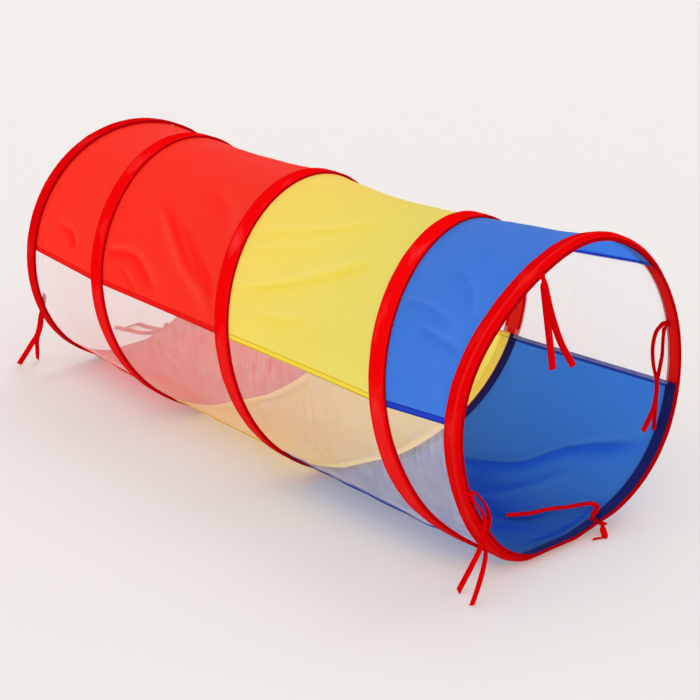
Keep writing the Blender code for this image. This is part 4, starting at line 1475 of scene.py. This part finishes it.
blueFolds = (
    fold(0.0018, 0.01, 0.32, (151, 0.448), (143, 0.502), (130, 0.540)),
    fold(0.002, 0.009, 0.48, (125, 0.455), (121, 0.532), (119, 0.565)),
    fold(0.0018, 0.009, 0.4, (133, 0.390), (132, 0.462), (126, 0.530)),
)
blueFloorFolds = (
    fold(
        0.01, 0.014, 1.3, (340, 0.240), (330.5, 0.364), (314.5, 0.436), (301, 0.570),
        steep=-1, lit=0.35,
    ),
    fold(0.0025, 0.014, 0.6, (355, 0.330), (338.5, 0.408), (320, 0.465)),
    fold(0.0015, 0.014, 0.6, (366, 0.400), (354, 0.464), (338, 0.500)),
    # The last three have no depth and only paint shade: a broad darker stretch low inside, a dark
    # strip along the floor panel's overlap and a darker band beside the front ring's tape
    fold(0.0, 0.055, 1.0, (338, 0.260), (350, 0.360), (362, 0.440), (374, 0.520), lit=0.0),
    fold(
        0.0, 0.024, 1.3, (397, 0.250), (399, 0.330), (398, 0.420), (397, 0.520),
        lit=0.0, start=1.0, end=1.0,
    ),
    fold(
        0.0, 0.01, 1.2, (370, 0.534), (352, 0.543), (338, 0.549), (325, 0.553),
        lit=0.0, start=0.5,
    ),
)
panelLook = {
    "folds": (),
    "slantFade": 30, "startSlant": 0.0, "endSlant": 0.0,
    "overlap": 0.0, "lapSlant": 0.0,
    "lumps": 0.0010, "lumpWave": 0.13, "crinkle": 0.0004,
    "arcStep": 0.0030, "acrossStep": 0.0034,
}
netShape = panelLook | {
    "lumps": 0.0016, "crinkle": 0.0008, "arcStep": 0.0045, "acrossStep": 0.0045,
}

bays = {
    "blue": {
        "slot": "blue_cloth", "centre": 0.40, "sag": 0.0020,
        "top_panel": {"folds": blueFolds, "crinkle": 0.0008, "sag": 0.0, "endSlant": 4.0},
        "far_window": {"startSlant": 4.0},
        "floor_panel": {
            "folds": blueFloorFolds, "finish": "blue_floor", "overlap": 0.056, "lapSlant": 0.6,
        },
    },
    "yellow": {
        "slot": "yellow_cloth", "centre": 0.155, "sag": 0.0045,
        "top_panel": {"folds": yellowFolds, "sag": 0.0095},
        "floor_panel": {"finish": "yellow_floor"},
    },
    "red": {
        "slot": "red_cloth", "centre": -0.20, "sag": 0.0045,
        "top_panel": {"folds": redFolds}, "floor_panel": {"finish": "red_floor"},
    },
    "tail": {
        "slot": "red_cloth", "centre": -0.45, "sag": 0.0035,
        "top_panel": {"folds": tailFolds}, "floor_panel": {"finish": "red_floor"},
    },
}
strips = (
    ("near_window", "floorNearSeam", "nearTopSeam", 0),
    ("top_panel", "nearTopSeam", "topFarSeam", 0),
    ("far_window", "topFarSeam", "farFloorSeam", 0),
    ("floor_panel", "farFloorSeam", "floorNearSeam", 360),
)
clothLast = tunnel["coilLast"] + 360
for number, (bay, made) in enumerate(bays.items()):
    hemRuns = []
    turn = 360 * number
    body = f"{bay}_bay"
    for order, (strip, start, end, more) in enumerate(strips):
        first = tunnel[start] + turn
        if first + 10 > clothLast:
            continue
        last = min(tunnel[end] + turn + more, clothLast)
        net = strip.endswith("window")
        look = (netShape if net else panelLook) | {"sag": made["sag"]}
        if strip == "floor_panel" and last < clothLast:
            look["overlap"] = cloth["floorOverlap"]
        look = look | made.get(strip, {}) | {"seed": 100 * number + 10 * order + 1, "turn": turn}
        slot = "white_net" if net else made["slot"]
        hemRuns += addPanel(f"{bay}_{strip}", first, last, slot, look, body)
    stitches = addStitches(f"{bay}_hem_stitches", hemRuns, made["slot"])
    squashBay(stitches, body)
    print(bay, "bay sewn")

# Floor, light and picture settings

studio = {
    "floor": rgb(223, 219, 217),
    "backdrop": rgb(240, 236, 234),
    "floorSize": 24.0,
    "plainShare": 0.22,
    "sky": 0.62,
    "skyTint": (1.0, 0.99, 0.99, 1.0),
    "horizon": 0.92,
    "cameraSide": 0.55,
    "sunPower": 0.50,
    "sunAngle": 35,
    "sunFrom": (-0.25, 0.75, 1.25),
}


def addStudio(look):
    paper = Finish("studioFloor")
    grain = paper.noise(paper.place(), 30.0, 3.0)
    tone = paper.mixColour(grain * 0.02, look["floor"], look["backdrop"])
    body = paper.node("ShaderNodeBsdfDiffuse", {}, {"Color": tone})
    plain = paper.node("ShaderNodeEmission", {}, {"Color": look["backdrop"], "Strength": 1.0})
    share = paper.seenDirectly() * look["plainShare"]
    size = look["floorSize"] / 2
    mesh = bpy.data.meshes.new("studio_floor")
    corners = [(-size, -size, 0), (size, -size, 0), (size, size, 0), (-size, size, 0)]
    mesh.from_pydata(corners, [], [(0, 1, 2, 3)])
    mesh.materials.append(paper.finished(paper.mixShader(share, body, plain)))
    floor = bpy.data.objects.new("studio_floor", mesh)
    bpy.context.scene.collection.objects.link(floor)
    # The sky is a soft band of light, brightest near the horizon and on the camera's side.
    # Seen directly it is the plain backdrop.
    sky = Finish("studio", "worlds")
    towards = Vector(camera["place"]) - Vector(camera["target"])
    towards = Vector((towards.x, towards.y, 0.0)).normalized()
    place = sky.place("Generated")
    facing = sky.node("ShaderNodeVectorMath", {"operation": "DOT_PRODUCT"}, [place, towards], 1)
    up = sky.split(place, 3)[2]
    band = (1.0 - up * up) * (facing * look["cameraSide"] + 1.0)
    strength = band * look["horizon"] + look["sky"]
    lit = sky.node("ShaderNodeBackground", {}, {"Color": look["skyTint"], "Strength": strength})
    seen = sky.node("ShaderNodeBackground", {}, {"Color": look["backdrop"]})
    choice = sky.mixShader(sky.seenDirectly(), lit, seen)
    bpy.context.scene.world = sky.finished(choice, "World")
    lamp = bpy.data.lights.new("key", "SUN")
    lamp.energy = look["sunPower"]
    lamp.angle = math.radians(look["sunAngle"])
    made = bpy.data.objects.new("key", lamp)
    made.rotation_euler = Vector(look["sunFrom"]).to_track_quat("Z", "Y").to_euler()
    bpy.context.scene.collection.objects.link(made)
    bpy.context.scene.view_settings.view_transform = "Standard"


addStudio(studio)
print("studio lit")
